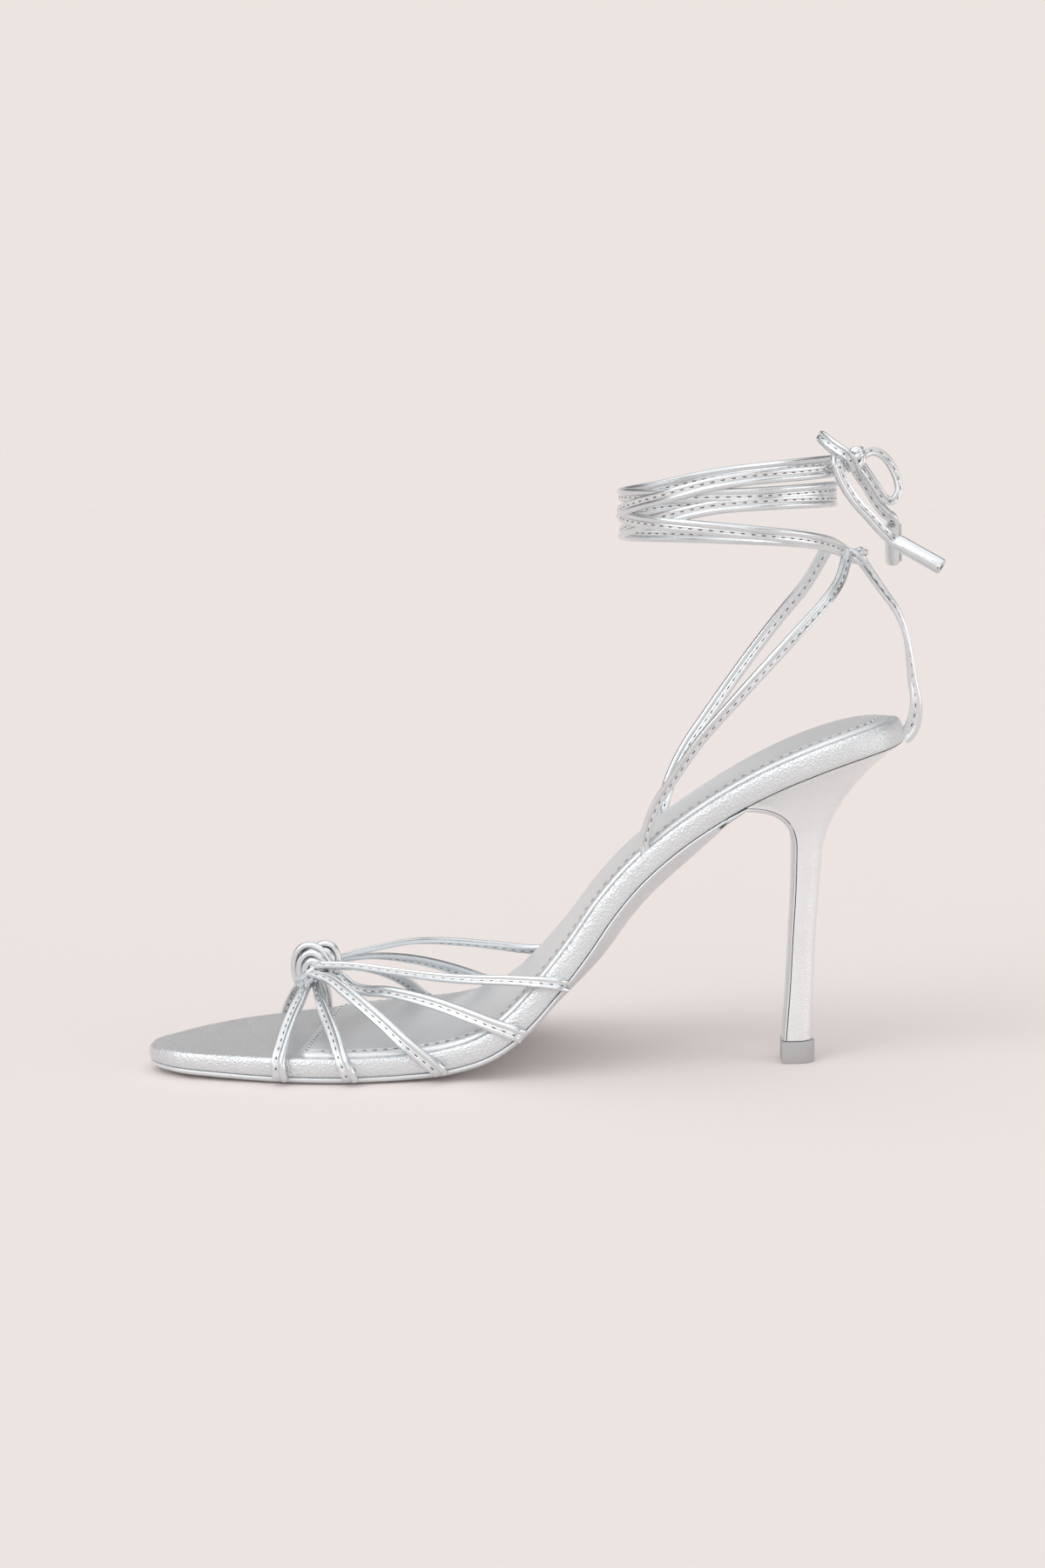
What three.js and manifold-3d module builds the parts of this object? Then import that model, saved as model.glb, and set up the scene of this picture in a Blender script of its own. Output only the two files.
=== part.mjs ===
// Lace-up heeled sandal, right shoe, size 37 to 38. Millimetres, +Z up, toe towards -X, inner side -Y.
// The origin is the centre of the forefoot's flat tread, on the floor.
import * as THREE from "three";
import { mergeVertices } from "three/addons/utils/BufferGeometryUtils.js";
import Module from "manifold-3d";

// Last
const footLength = 212;
const ballWidth = 77;
const heelRise = 92.8;
const treadShare = 0.307;

// Sole unit
const soleThickness = 2;
const waistShare = 0.65;
const waistCamber = 4.6;
const flapThickness = 1;
const bandThickness = 5.4;
const treadPress = 0.15;
const sockThickness = 0.9;
const sockInset = 2.7;
const sockGap = 0.45;
const sockBevel = 0.6;
const sockFrontInner = 0.178;
const sockFrontOuter = 0.19;

// Heel
const seatLip = 0.79;
const seatInset = 0.8;
const liftHeight = 6.3;
const liftLength = 10.4;
const liftWidth = 10;
const liftBevel = 0.3;
const neckHeight = 62;
const heelSet = 30.2;
const tipLength = 7.3;
const tipWidth = 8.6;
const neckLength = 7.4;
const neckWidth = 11;

// Straps
const strapWidth = 3.8;
const beadDiameter = 1.9;
const flangeThickness = 1.1;
const strapEase = 0.7;
const edgeRound = 0.6;
const knotAlong = 0.184;
const knotRise = 20;
const knotRadius = 4.7;
const knotStrand = 1.6;

// Ankle
const ankleLength = 60;
const ankleWidth = 55;
const ankleSet = 51;
const wrapHeight = 146;
const wrapSpan = 26;
const bowSpread = 24;
const heelKnotRadius = 2.5;
const bowKnotRadius = 2.3;
const tipTubeLength = 14.3;
const tipTubeDiameter = 5.1;

// Fit
const clearance = 0.3;

// Facets
const strapStep = 6;
const lacePitch = 18.5;
const ballFacets = [10, 8];

// The last's bottom line from toe to heel: shares of the foot's length, the heel's rise and the band's
// thickness.
const lastLine = [
  { at: 0.0, rise: 0.003, band: 0.85 },
  { at: 0.113, rise: 0.0, band: 0.93 },
  { at: 0.179, rise: 0.0, band: 1.0 },
  { at: 0.307, rise: 0.0, band: 1.0 },
  { at: 0.345, rise: 0.004, band: 1.03 },
  { at: 0.401, rise: 0.02, band: 1.1 },
  { at: 0.448, rise: 0.058, band: 1.15 },
  { at: 0.486, rise: 0.123, band: 1.17 },
  { at: 0.524, rise: 0.22, band: 1.17 },
  { at: 0.562, rise: 0.33, band: 1.15 },
  { at: 0.599, rise: 0.452, band: 1.13 },
  { at: 0.637, rise: 0.554, band: 1.12 },
  { at: 0.684, rise: 0.651, band: 1.13 },
  { at: 0.741, rise: 0.746, band: 1.17 },
  { at: 0.807, rise: 0.837, band: 1.23 },
  { at: 0.88, rise: 0.915, band: 1.28 },
  { at: 0.944, rise: 0.967, band: 1.3 },
  { at: 1.0, rise: 1.0, band: 1.3 },
];

// The insole's flat outline: shares of the length along the foot, and of the ball's width on each side.
const outline = [
  { along: 0.0, inner: -0.27, outer: -0.2 },
  { along: 0.006, inner: -0.31, outer: -0.15 },
  { along: 0.018, inner: -0.352, outer: -0.09 },
  { along: 0.042, inner: -0.402, outer: 0.03 },
  { along: 0.085, inner: -0.437, outer: 0.185 },
  { along: 0.14, inner: -0.464, outer: 0.31 },
  { along: 0.19, inner: -0.478, outer: 0.41 },
  { along: 0.24, inner: -0.472, outer: 0.505 },
  { along: 0.295, inner: -0.437, outer: 0.568 },
  { along: 0.35, inner: -0.41, outer: 0.58 },
  { along: 0.4, inner: -0.4, outer: 0.542 },
  { along: 0.47, inner: -0.367, outer: 0.445 },
  { along: 0.56, inner: -0.326, outer: 0.348 },
  { along: 0.65, inner: -0.29, outer: 0.277 },
  { along: 0.72, inner: -0.272, outer: 0.254 },
  { along: 0.78, inner: -0.267, outer: 0.262 },
  { along: 0.84, inner: -0.275, outer: 0.288 },
  { along: 0.89, inner: -0.284, outer: 0.304 },
  { along: 0.94, inner: -0.264, outer: 0.268 },
  { along: 0.975, inner: -0.2, outer: 0.19 },
  { along: 0.993, inner: -0.105, outer: 0.09 },
  { along: 1.0, inner: -0.035, outer: 0.025 },
];

// The footbed's rounded edge: millimetres drawn in, and shares of the band's thickness below the top.
const bandEdge = [
  { inset: 0.9, depth: 1.0 },
  { inset: 0.15, depth: 0.82 },
  { inset: 0.0, depth: 0.5 },
  { inset: 0.2, depth: 0.22 },
  { inset: 1.1, depth: 0.0 },
];

// The outsole's edge: millimetres drawn in, and shares of the sole's thickness below its top.
const soleEdge = [
  { inset: 0.6, depth: 0.0 },
  { inset: 0.3, depth: 0.45 },
  { inset: 1.1, depth: 1.0 },
];

// How much of the waist's camber and of the waist's thinning the outsole has along the foot.
const waistLine = [
  { along: 0.0, camber: 0.0, thin: 0.0 },
  { along: 0.33, camber: 0.0, thin: 0.0 },
  { along: 0.41, camber: 0.0, thin: 0.46 },
  { along: 0.46, camber: 0.4, thin: 0.86 },
  { along: 0.53, camber: 0.9, thin: 1.0 },
  { along: 0.6, camber: 1.0, thin: 1.0 },
  { along: 0.7, camber: 1.0, thin: 1.0 },
  { along: 0.77, camber: 0.8, thin: 1.0 },
  { along: 1.0, camber: 0.0, thin: 1.0 },
];

// The heel's column from its foot to its neck: shares of the way up, then how far its front stands back of
// the neck's (a share of the tip's length), its length and its width.
const heelColumn = [
  { height: 0.0, lean: -0.3, length: tipLength, width: tipWidth },
  { height: 0.25, lean: -0.18, length: tipLength * 0.93, width: tipWidth },
  { height: 0.55, lean: -0.09, length: tipLength * 0.9, width: tipWidth * 1.04 },
  { height: 0.8, lean: -0.01, length: neckLength * 0.92, width: tipWidth * 1.1 },
  { height: 1.0, lean: 0.0, length: neckLength, width: neckWidth },
];

// The turn from the heel's cup into its neck: shares of the rise to the seat in front and behind, of the
// neck's length backwards, and of the neck's width.
const cupTurn = { front: 0.9, behind: 0.5, back: 0.34, wide: 1.25 };

// Each vamp strap: its side, where it meets the seam and how far before that it crosses the band's top
// edge (shares of the length along the foot), where it leaves the knot (shares of the knot's radius), and
// how far it stands outwards and upwards of a straight line (shares of the ball's width).
const vampStraps = [
  { side: -1, seat: 0.163, lead: 0.002, x: -0.3, y: -0.5, z: -0.9, out: 0.0, up: 0.035 },
  { side: -1, seat: 0.242, lead: 0.016, x: 0.1, y: -0.5, z: -0.9, out: 0.01, up: 0.035 },
  { side: -1, seat: 0.338, lead: 0.022, x: 0.2, y: -0.6, z: -0.3, out: 0.035, up: 0.03 },
  { side: -1, seat: 0.426, lead: 0.02, x: 0.6, y: -0.5, z: -0.5, out: 0.045, up: 0.02 },
  { side: -1, seat: 0.497, lead: 0.016, x: 0.3, y: -0.6, z: 0.15, out: 0.045, up: -0.02 },
  { side: 1, seat: 0.132, lead: 0.0, x: -0.2, y: 0.5, z: -0.9, out: 0.0, up: 0.035 },
  { side: 1, seat: 0.176, lead: 0.0, x: 0.1, y: 0.5, z: -0.9, out: 0.0, up: 0.035 },
  { side: 1, seat: 0.314, lead: 0.02, x: 0.3, y: 0.6, z: -0.3, out: 0.02, up: 0.045 },
  { side: 1, seat: 0.399, lead: 0.02, x: 0.6, y: 0.5, z: -0.1, out: 0.04, up: 0.02 },
  { side: 1, seat: 0.484, lead: 0.012, x: 0.6, y: 0.5, z: 0.2, out: 0.05, up: 0.015 },
];

// The rings of strap that make the knot: tilts in degrees about X and Z, and offsets as shares of the
// knot's radius.
const knotRings = [
  { tiltX: 90, tiltZ: 25, x: -0.35, z: 0.35, wide: 0.62, high: 0.9 },
  { tiltX: 90, tiltZ: -35, x: 0.35, z: 0.3, wide: 0.6, high: 0.85 },
  { tiltX: 35, tiltZ: 0, x: 0.0, z: 0.1, wide: 0.9, high: 0.85 },
  { tiltX: 115, tiltZ: 60, x: 0.05, z: 0.0, wide: 0.85, high: 0.8 },
];

// The ankle's inner and outer straps: where each leaves the footbed (share of the length along the foot),
// then points from that slit to the lace's start: shares of the way along, the way up, and the ankle's
// half width.
const ankleStraps = [
  {
    name: "ankle_strap_inner",
    side: -1,
    slit: 0.674,
    points: [
      { along: 0.05, up: 0.13, out: 0.8 },
      { along: 0.145, up: 0.245, out: 0.89 },
      { along: 0.265, up: 0.375, out: 0.97 },
      { along: 0.46, up: 0.54, out: 1.0 },
      { along: 0.7, up: 0.73, out: 0.9 },
      { along: 0.88, up: 0.875, out: 0.62 },
      { along: 0.96, up: 0.955, out: 0.3 },
      { along: 0.99, up: 0.99, out: 0.16 },
    ],
  },
  {
    name: "ankle_strap_outer",
    side: 1,
    slit: 0.702,
    points: [
      { along: 0.05, up: 0.12, out: 0.8 },
      { along: 0.13, up: 0.235, out: 0.9 },
      { along: 0.25, up: 0.36, out: 0.98 },
      { along: 0.5, up: 0.61, out: 1.0 },
      { along: 0.68, up: 0.78, out: 0.93 },
      { along: 0.8, up: 0.89, out: 0.8 },
      { along: 0.915, up: 1.045, out: 0.49 },
    ],
  },
];

// The heel strap, from the back of the seat to its small knot: shares of the way back and of the way up.
const heelStrapLine = [
  { back: 0.0, up: 0.0 },
  { back: 0.1, up: 0.045 },
  { back: 0.16, up: 0.17 },
  { back: 0.08, up: 0.304 },
  { back: -0.08, up: 0.568 },
  { back: -0.27, up: 0.7 },
  { back: -0.52, up: 0.8 },
  { back: -0.86, up: 0.94 },
];

// The two laces round the ankle: degrees from the back by way of the inner side, height as a share of the
// wraps' span, and how far they stand off the ankle's ellipse as a share of its half length and width.
const laceInner = [
  { turn: 0, up: 0.0, off: 0.12 },
  { turn: 30, up: 0.13, off: 0.02 },
  { turn: 90, up: 0.255, off: 0.0 },
  { turn: 135, up: 0.335, off: 0.0 },
  { turn: 180, up: 0.42, off: 0.0 },
  { turn: 270, up: 0.58, off: 0.0 },
  { turn: 360, up: 0.7, off: 0.0 },
  { turn: 450, up: 0.62, off: 0.0 },
  { turn: 540, up: 0.63, off: 0.0 },
  { turn: 585, up: 0.7, off: 0.0 },
  { turn: 630, up: 0.87, off: 0.0 },
  { turn: 675, up: 0.96, off: 0.0 },
  { turn: 720, up: 1.0, off: 0.07 },
];
const laceOuter = [
  { turn: 0, up: 0.0, off: 0.12 },
  { turn: -30, up: 0.1, off: 0.02 },
  { turn: -90, up: 0.155, off: 0.0 },
  { turn: -180, up: 0.22, off: 0.0 },
  { turn: -225, up: 0.35, off: 0.0 },
  { turn: -270, up: 0.51, off: 0.0 },
  { turn: -360, up: 0.57, off: 0.0 },
  { turn: -450, up: 0.54, off: 0.0 },
  { turn: -540, up: 0.44, off: 0.0 },
  { turn: -585, up: 0.56, off: 0.0 },
  { turn: -630, up: 0.765, off: 0.0 },
  { turn: -675, up: 0.85, off: 0.0 },
  { turn: -720, up: 0.92, off: 0.07 },
];

// The bow behind the ankle: points of each loop and end from the bow's knot, as shares of its spread along
// X, Y and Z, and the way that the strap's flat face looks.
const bowPieces = [
  {
    name: "bow_loop_upper",
    face: [1, 0, 1],
    points: [
      [-0.02, -0.19, -0.1], [-0.1, -0.33, 0.05], [-0.28, -0.26, 0.19], [-0.43, -0.08, 0.32],
      [-0.43, 0.08, 0.32], [-0.28, 0.26, 0.19], [-0.1, 0.33, 0.05], [-0.02, 0.19, -0.1],
    ],
  },
  {
    name: "bow_loop_rear",
    face: [0, -1, 0],
    points: [
      [0.11, 0.03, 0.06], [0.2, 0.03, 0.1], [0.31, 0.03, 0.06], [0.41, 0.03, -0.05], [0.5, 0.02, -0.25],
      [0.51, 0.01, -0.38], [0.45, 0.0, -0.47], [0.35, -0.03, -0.45], [0.24, -0.06, -0.3], [0.1, -0.06, -0.1],
    ],
  },
  {
    name: "lace_end_inner",
    face: [0.4, -1, 0.3],
    points: [
      [-0.27, -0.57, -0.02], [-0.22, -0.57, -0.19], [-0.06, -0.5, -0.45],
      [0.13, -0.44, -0.65], [0.29, -0.4, -0.8], [0.42, -0.37, -0.89],
    ],
  },
  {
    name: "lace_end_outer",
    face: [0.4, 1, 0.3],
    points: [
      [0.03, 0.14, -0.12], [0.17, 0.17, -0.32], [0.28, 0.17, -0.5], [0.38, 0.17, -0.62], [0.46, 0.18, -0.68],
    ],
  },
];
const laceTips = [
  { name: "lace_tip_inner", end: "lace_end_inner", lean: [0.86, 0, -0.51] },
  { name: "lace_tip_outer", end: "lace_end_outer", lean: [0.1, 0.62, -0.75] },
];

// Colour, roughness and metalness.
const silver = { leather: [0xc6c6c8, 0.34, 0.75], sock: [0xb9b9bb, 0.5, 0.55], lift: [0xa9a9ab, 0.6, 0.0] };
const wasm = await Module();
wasm.setup();
const model = new THREE.Group();

// A smooth curve through one column of a table, as a function of another column.
function column(rows, from, to) {
  const slope = (i) => {
    const a = rows[Math.max(i - 1, 0)];
    const b = rows[Math.min(i + 1, rows.length - 1)];
    return (b[to] - a[to]) / (b[from] - a[from]);
  };
  const rising = rows[1][from] > rows[0][from];
  return (value) => {
    let i = 0;
    while (i < rows.length - 2 && (rising ? value > rows[i + 1][from] : value < rows[i + 1][from])) i += 1;
    const a = rows[i];
    const b = rows[i + 1];
    const width = b[from] - a[from];
    const t = THREE.MathUtils.clamp((value - a[from]) / width, 0, 1);
    const ease = t * t * (3 - 2 * t);
    const leave = slope(i) * width * t * (1 - t) ** 2;
    const arrive = slope(i + 1) * width * t * t * (t - 1);
    return a[to] + (b[to] - a[to]) * ease + leave + arrive;
  };
}

// A closed body through equal rings of points, capped by strips across from one half of the ring to the
// other. A cap may have inner columns, whose points a function moves.
function skin(rings, startCap = { columns: 1 }, endCap = { columns: 1 }) {
  const points = rings.flat().map((p) => p.clone());
  const faces = [];
  const count = rings[0].length;
  for (let r = 0; r + 1 < rings.length; r += 1) {
    for (let j = 0; j < count; j += 1) {
      const a = r * count + j;
      const b = r * count + ((j + 1) % count);
      faces.push([a, b, b + count], [a, b + count, a + count]);
    }
  }
  const addCap = (start, { columns, move }, flip) => {
    const half = count / 2;
    const grid = [];
    for (let i = 0; i < half; i += 1) {
      const row = [start + i];
      for (let c = 1; c < columns; c += 1) {
        const w = c / columns;
        const p = points[start + i].clone().lerp(points[start + count - 1 - i], w);
        if (move) move(p, i, w);
        row.push(points.length);
        points.push(p);
      }
      row.push(start + count - 1 - i);
      grid.push(row);
    }
    for (let i = 0; i + 1 < half; i += 1) {
      for (let c = 0; c < columns; c += 1) {
        const quad = [grid[i][c], grid[i][c + 1], grid[i + 1][c + 1], grid[i + 1][c]];
        if (flip) quad.reverse();
        faces.push([quad[0], quad[1], quad[2]], [quad[0], quad[2], quad[3]]);
      }
    }
    const close = (row, first) => {
      for (let c = 1; c + 1 < row.length; c += 1) {
        faces.push(first === flip ? [row[0], row[c], row[c + 1]] : [row[0], row[c + 1], row[c]]);
      }
    };
    if (columns > 1) {
      close(grid[0], true);
      close(grid[half - 1], false);
    }
  };
  addCap(0, startCap, false);
  addCap((rings.length - 1) * count, endCap, true);
  return solid(points, faces);
}

// A geometry from points and faces, with the faces pointing out.
function solid(points, faces) {
  let volume = 0;
  for (const [a, b, c] of faces) volume += points[a].dot(points[b].clone().cross(points[c]));
  const index = faces.flatMap(([a, b, c]) => (volume > 0 ? [a, b, c] : [a, c, b]));
  const geometry = new THREE.BufferGeometry();
  geometry.setAttribute("position", new THREE.Float32BufferAttribute(points.flatMap((p) => p.toArray()), 3));
  geometry.setIndex(index);
  return geometry;
}

// One closed body from several that overlap.
function join(geometries) {
  const parts = geometries.map((geometry) => {
    const bare = geometry.clone();
    bare.deleteAttribute("normal");
    bare.deleteAttribute("uv");
    const merged = mergeVertices(bare, 1e-4);
    return new wasm.Manifold(new wasm.Mesh({
      numProp: 3,
      vertProperties: new Float32Array(merged.attributes.position.array),
      triVerts: new Uint32Array(merged.index.array),
    }));
  });
  const mesh = parts.reduce((all, part) => all.add(part)).getMesh();
  const geometry = new THREE.BufferGeometry();
  geometry.setAttribute("position", new THREE.BufferAttribute(mesh.vertProperties, 3));
  geometry.setIndex(new THREE.BufferAttribute(mesh.triVerts, 1));
  return geometry;
}

// A round knot with the given radius, stretched along X, Y and Z.
function ball(radius, stretch, centre) {
  const geometry = new THREE.SphereGeometry(radius, ...ballFacets);
  geometry.scale(...stretch);
  geometry.translate(...centre.toArray());
  return geometry;
}

function add(name, geometry, [color, roughness, metalness]) {
  geometry.computeVertexNormals();
  const mesh = new THREE.Mesh(geometry, new THREE.MeshStandardMaterial({ color, roughness, metalness }));
  mesh.name = name;
  model.add(mesh);
}

// The last's bottom line as a curve, and the way a flat pattern is bent onto it.
const footbedTop = soleThickness + clearance + bandThickness - treadPress;
const lastCurve = new THREE.CatmullRomCurve3(
  lastLine.map(({ at, rise }) =>
    new THREE.Vector3((at - treadShare) * footLength, 0, footbedTop + rise * heelRise)),
  false,
  "centripetal",
);
lastCurve.arcLengthDivisions = 600;
const pathLength = lastCurve.getLength();
const bandShare = column(lastLine, "at", "band");

function bend(along, y, depth) {
  const u = THREE.MathUtils.clamp(along, 0, 1);
  const point = lastCurve.getPointAt(u);
  const tangent = lastCurve.getTangentAt(u);
  point.addScaledVector(tangent, (along - u) * pathLength);
  const down = new THREE.Vector3(tangent.z, 0, -tangent.x);
  point.addScaledVector(down, depth);
  point.y = y;
  return point;
}

function bandAt(along) {
  const x = lastCurve.getPointAt(THREE.MathUtils.clamp(along, 0, 1)).x;
  return bandThickness * bandShare(x / footLength + treadShare);
}

// The flat outline as a closed loop, down the inner side and back up the outer one, drawn in by an inset.
const innerEdge = column(outline, "along", "inner");
const outerEdge = column(outline, "along", "outer");

function loop(stations, inset) {
  const side = (edge) =>
    stations.map((along) => new THREE.Vector2(along * pathLength, edge(along) * ballWidth));
  const flat = [...side(innerEdge), ...side(outerEdge).reverse()];
  return flat.map((p, i) => {
    const before = flat[(i + flat.length - 1) % flat.length];
    const after = flat[(i + 1) % flat.length];
    const inward = after.clone().sub(before).normalize();
    return { along: (p.x - inward.y * inset) / pathLength, y: p.y + inward.x * inset };
  });
}

// Stations from one share of the length to another, closer together where the outline turns.
function stationsBetween(from, to, count, turnsAtEnd) {
  return Array.from({ length: count + 1 }, (_, i) => {
    const t = i / count;
    const eased = {
      both: (1 - Math.cos(Math.PI * t)) / 2,
      first: 1 - Math.cos((Math.PI * t) / 2),
      last: Math.sin((Math.PI * t) / 2),
    }[turnsAtEnd];
    return from + (to - from) * (0.6 * eased + 0.4 * t);
  });
}

// Footbed: the insole board in its leather cover, with a rounded edge all round.
function footbed() {
  const stations = stationsBetween(0, 1, 52, "both");
  const rings = bandEdge.map(({ inset, depth }) =>
    loop(stations, inset).map(({ along, y }) => bend(along, y, depth * bandAt(along))));
  add("footbed", skin(rings), silver.leather);
}

// Sock: the thin padded cover from a slanting front edge to the back, where its edge turns in over the
// heel's round.
function sock() {
  const rows = stationsBetween(0, 1, 42, "last");
  const roundLength = 0.35 * ballWidth;
  const ring = (inset, depth) => {
    const side = (edge, sign, front) => rows.map((t) => {
      const along = front + (1 - front) * t;
      const round = Math.max(0, 1 - ((1 - along) * pathLength) / roundLength);
      const y = edge(along) * ballWidth - sign * inset;
      return { along: along - (inset * round * round) / pathLength, y };
    });
    const flat = [...side(innerEdge, -1, sockFrontInner), ...side(outerEdge, 1, sockFrontOuter).reverse()];
    return flat.map(({ along, y }) => bend(along, y, depth));
  };
  const rings = [
    ring(sockInset, -sockGap),
    ring(sockInset, -sockGap - 0.5 * sockThickness),
    ring(sockInset + sockBevel, -sockGap - sockThickness),
  ];
  add("sock", skin(rings), silver.sock);
}

// Heel: a cup under the seat that runs down into a slim column with a flat front.
const seatBack = bend(1, 0, bandAt(1));
const heelFront = seatBack.x - heelSet;
const heelFoot = liftHeight + clearance;

// A flat-fronted ring of the column.
function columnRing({ height, lean, length, width }, count) {
  const front = heelFront + lean * tipLength;
  const z = heelFoot + height * (neckHeight - heelFoot);
  return Array.from({ length: count }, (_, j) => {
    const angle = (Math.PI * j) / (count - 1);
    const x = front + length * Math.sin(angle) ** 0.8;
    return new THREE.Vector3(x, (-width / 2) * Math.cos(angle), z);
  });
}

function heelRings() {
  const top = loop(stationsBetween(seatLip, 1, 14, "last"), seatInset)
    .map(({ along, y }) => bend(Math.max(along, seatLip), y, bandAt(along) + clearance));
  const levels = heelColumn.toReversed().map((level) => columnRing(level, top.length));
  const neck = levels[0];
  const cup = [0, 0.12, 0.27, 0.45, 0.63, 0.82].map((t) => top.map((seat, j) => {
    const back = Math.sin((Math.PI * j) / (top.length - 1));
    const turn = neck[j].clone();
    turn.x += cupTurn.back * neckLength * back;
    turn.y *= cupTurn.wide;
    turn.z += (seat.z - neck[j].z) * THREE.MathUtils.lerp(cupTurn.front, cupTurn.behind, back);
    return seat.clone().multiplyScalar((1 - t) ** 2)
      .addScaledVector(turn, 2 * t * (1 - t))
      .addScaledVector(neck[j], t * t);
  }));
  return [...cup, ...levels];
}

const heelShape = heelRings();

function heel() {
  add("heel", skin(heelShape), silver.leather);
}

// Top lift: the heel's tip, which reaches in front of the column to cover the flap's end.
function topLift() {
  const front = heelFront + heelColumn[0].lean * tipLength - clearance - flapThickness;
  const sides = 17;
  const ring = (inset, z) => Array.from({ length: sides + 1 }, (_, j) => {
    const angle = (Math.PI * j) / sides;
    const x = front + inset + (liftLength - 2 * inset) * Math.sin(angle) ** 0.7;
    return new THREE.Vector3(x, -(liftWidth / 2 - inset) * Math.cos(angle), z);
  });
  const rings = [ring(liftBevel, 0), ring(0, liftBevel), ring(0, liftHeight)];
  add("top_lift", skin(rings), silver.lift);
}

// Outsole: flat at the tread, cambered at the waist, then down the heel's front as a thin flap.
function outsole() {
  const foot = stationsBetween(0, seatLip - 0.02, 40, "first");
  const camber = column(waistLine, "along", "camber");
  const thin = column(waistLine, "along", "thin");
  const thickness = (along) => soleThickness * THREE.MathUtils.lerp(1, waistShare, thin(along));
  const front = heelShape.map((ring) => ring[0]);
  const flap = front.map((p, i) => {
    const before = front[Math.max(i - 1, 0)];
    const after = front[Math.min(i + 1, front.length - 1)];
    const down = new THREE.Vector3(after.x - before.x, 0, after.z - before.z).normalize();
    return { p, out: new THREE.Vector3(down.z, 0, -down.x), half: Math.abs(p.y) };
  });
  const flapRing = (side, inset, depth) => flap.map(({ p, out, half }) => {
    const point = p.clone().addScaledVector(out, clearance + depth);
    point.y = side * (half - inset);
    return point;
  });
  const ring = (inset, depth) => {
    const sole = loop(foot, inset).map(({ along, y }) =>
      bend(along, y, bandAt(along) + clearance + depth * thickness(along)));
    const half = sole.length / 2;
    const down = flapRing(-1, inset * 0.5, depth * flapThickness);
    const back = flapRing(1, inset * 0.5, depth * flapThickness).reverse();
    return [...sole.slice(0, half), ...down, ...back, ...sole.slice(half)];
  };
  const rings = soleEdge.map(({ inset, depth }) => ring(inset, depth));
  const lipCamber = camber(foot[foot.length - 1]);
  const belly = (p, i, w) => {
    const arc = waistCamber * (1 - (2 * w - 1) ** 2);
    if (i < foot.length) {
      const along = foot[i];
      p.add(bend(along, 0, arc * camber(along))).sub(bend(along, 0, 0));
    } else {
      const fade = Math.max(0, 1 - 0.24 * (i - foot.length));
      p.addScaledVector(flap[i - foot.length].out, arc * lipCamber * fade);
    }
  };
  const geometry = skin(rings, { columns: 1 }, { columns: 6, move: belly });
  const position = geometry.attributes.position;
  for (let i = 0; i < position.count; i += 1) {
    position.setZ(i, Math.max(position.getZ(i), 0));
  }
  add("outsole", geometry, silver.leather);
}

// A strap along a curve: a flat flange with a round folded bead along one edge. The flat face looks
// outwards.
function strap(points, outward, steps, bead = 1) {
  const curve = new THREE.CatmullRomCurve3(points, false, "centripetal");
  const half = strapWidth / 2;
  const round = beadDiameter / 2;
  const flat = flangeThickness / 2;
  const section = [
    [-half, -flat], [half - 1.8 * round, -flat], [half - round, -round], [half, -0.5 * round],
    [half, 0.5 * round], [half - round, round], [half - 1.8 * round, flat], [-half, flat],
  ];
  const rings = [];
  for (let i = 0; i <= steps; i += 1) {
    const t = i / steps;
    const place = curve.getPointAt(t);
    const tangent = curve.getTangentAt(t);
    const normal = outward(place, t).clone();
    normal.addScaledVector(tangent, -normal.dot(tangent)).normalize();
    const across = tangent.clone().cross(normal).multiplyScalar(bead);
    rings.push(section.map(([b, n]) => place.clone().addScaledVector(across, b).addScaledVector(normal, n)));
  }
  return tubeSkin(rings, section);
}

// A closed body through equal rings, capped by the section's own triangles.
function tubeSkin(rings, section) {
  const count = section.length;
  const points = rings.flat();
  const faces = [];
  for (let r = 0; r + 1 < rings.length; r += 1) {
    for (let j = 0; j < count; j += 1) {
      const a = r * count + j;
      const b = r * count + ((j + 1) % count);
      faces.push([a, b, b + count], [a, b + count, a + count]);
    }
  }
  const caps = THREE.ShapeUtils.triangulateShape(section.map(([b, n]) => new THREE.Vector2(b, n)), []);
  const last = (rings.length - 1) * count;
  for (const [a, b, c] of caps) {
    faces.push([a, c, b], [last + a, last + b, last + c]);
  }
  return solid(points, faces);
}

// Vamp: ten straps from the knot over the toes to the seam, joined in the knot.
const knotShift = 0.4 * (innerEdge(knotAlong) + outerEdge(knotAlong));
const knotCentre = bend(knotAlong, knotShift * ballWidth, -knotRise);

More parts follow.
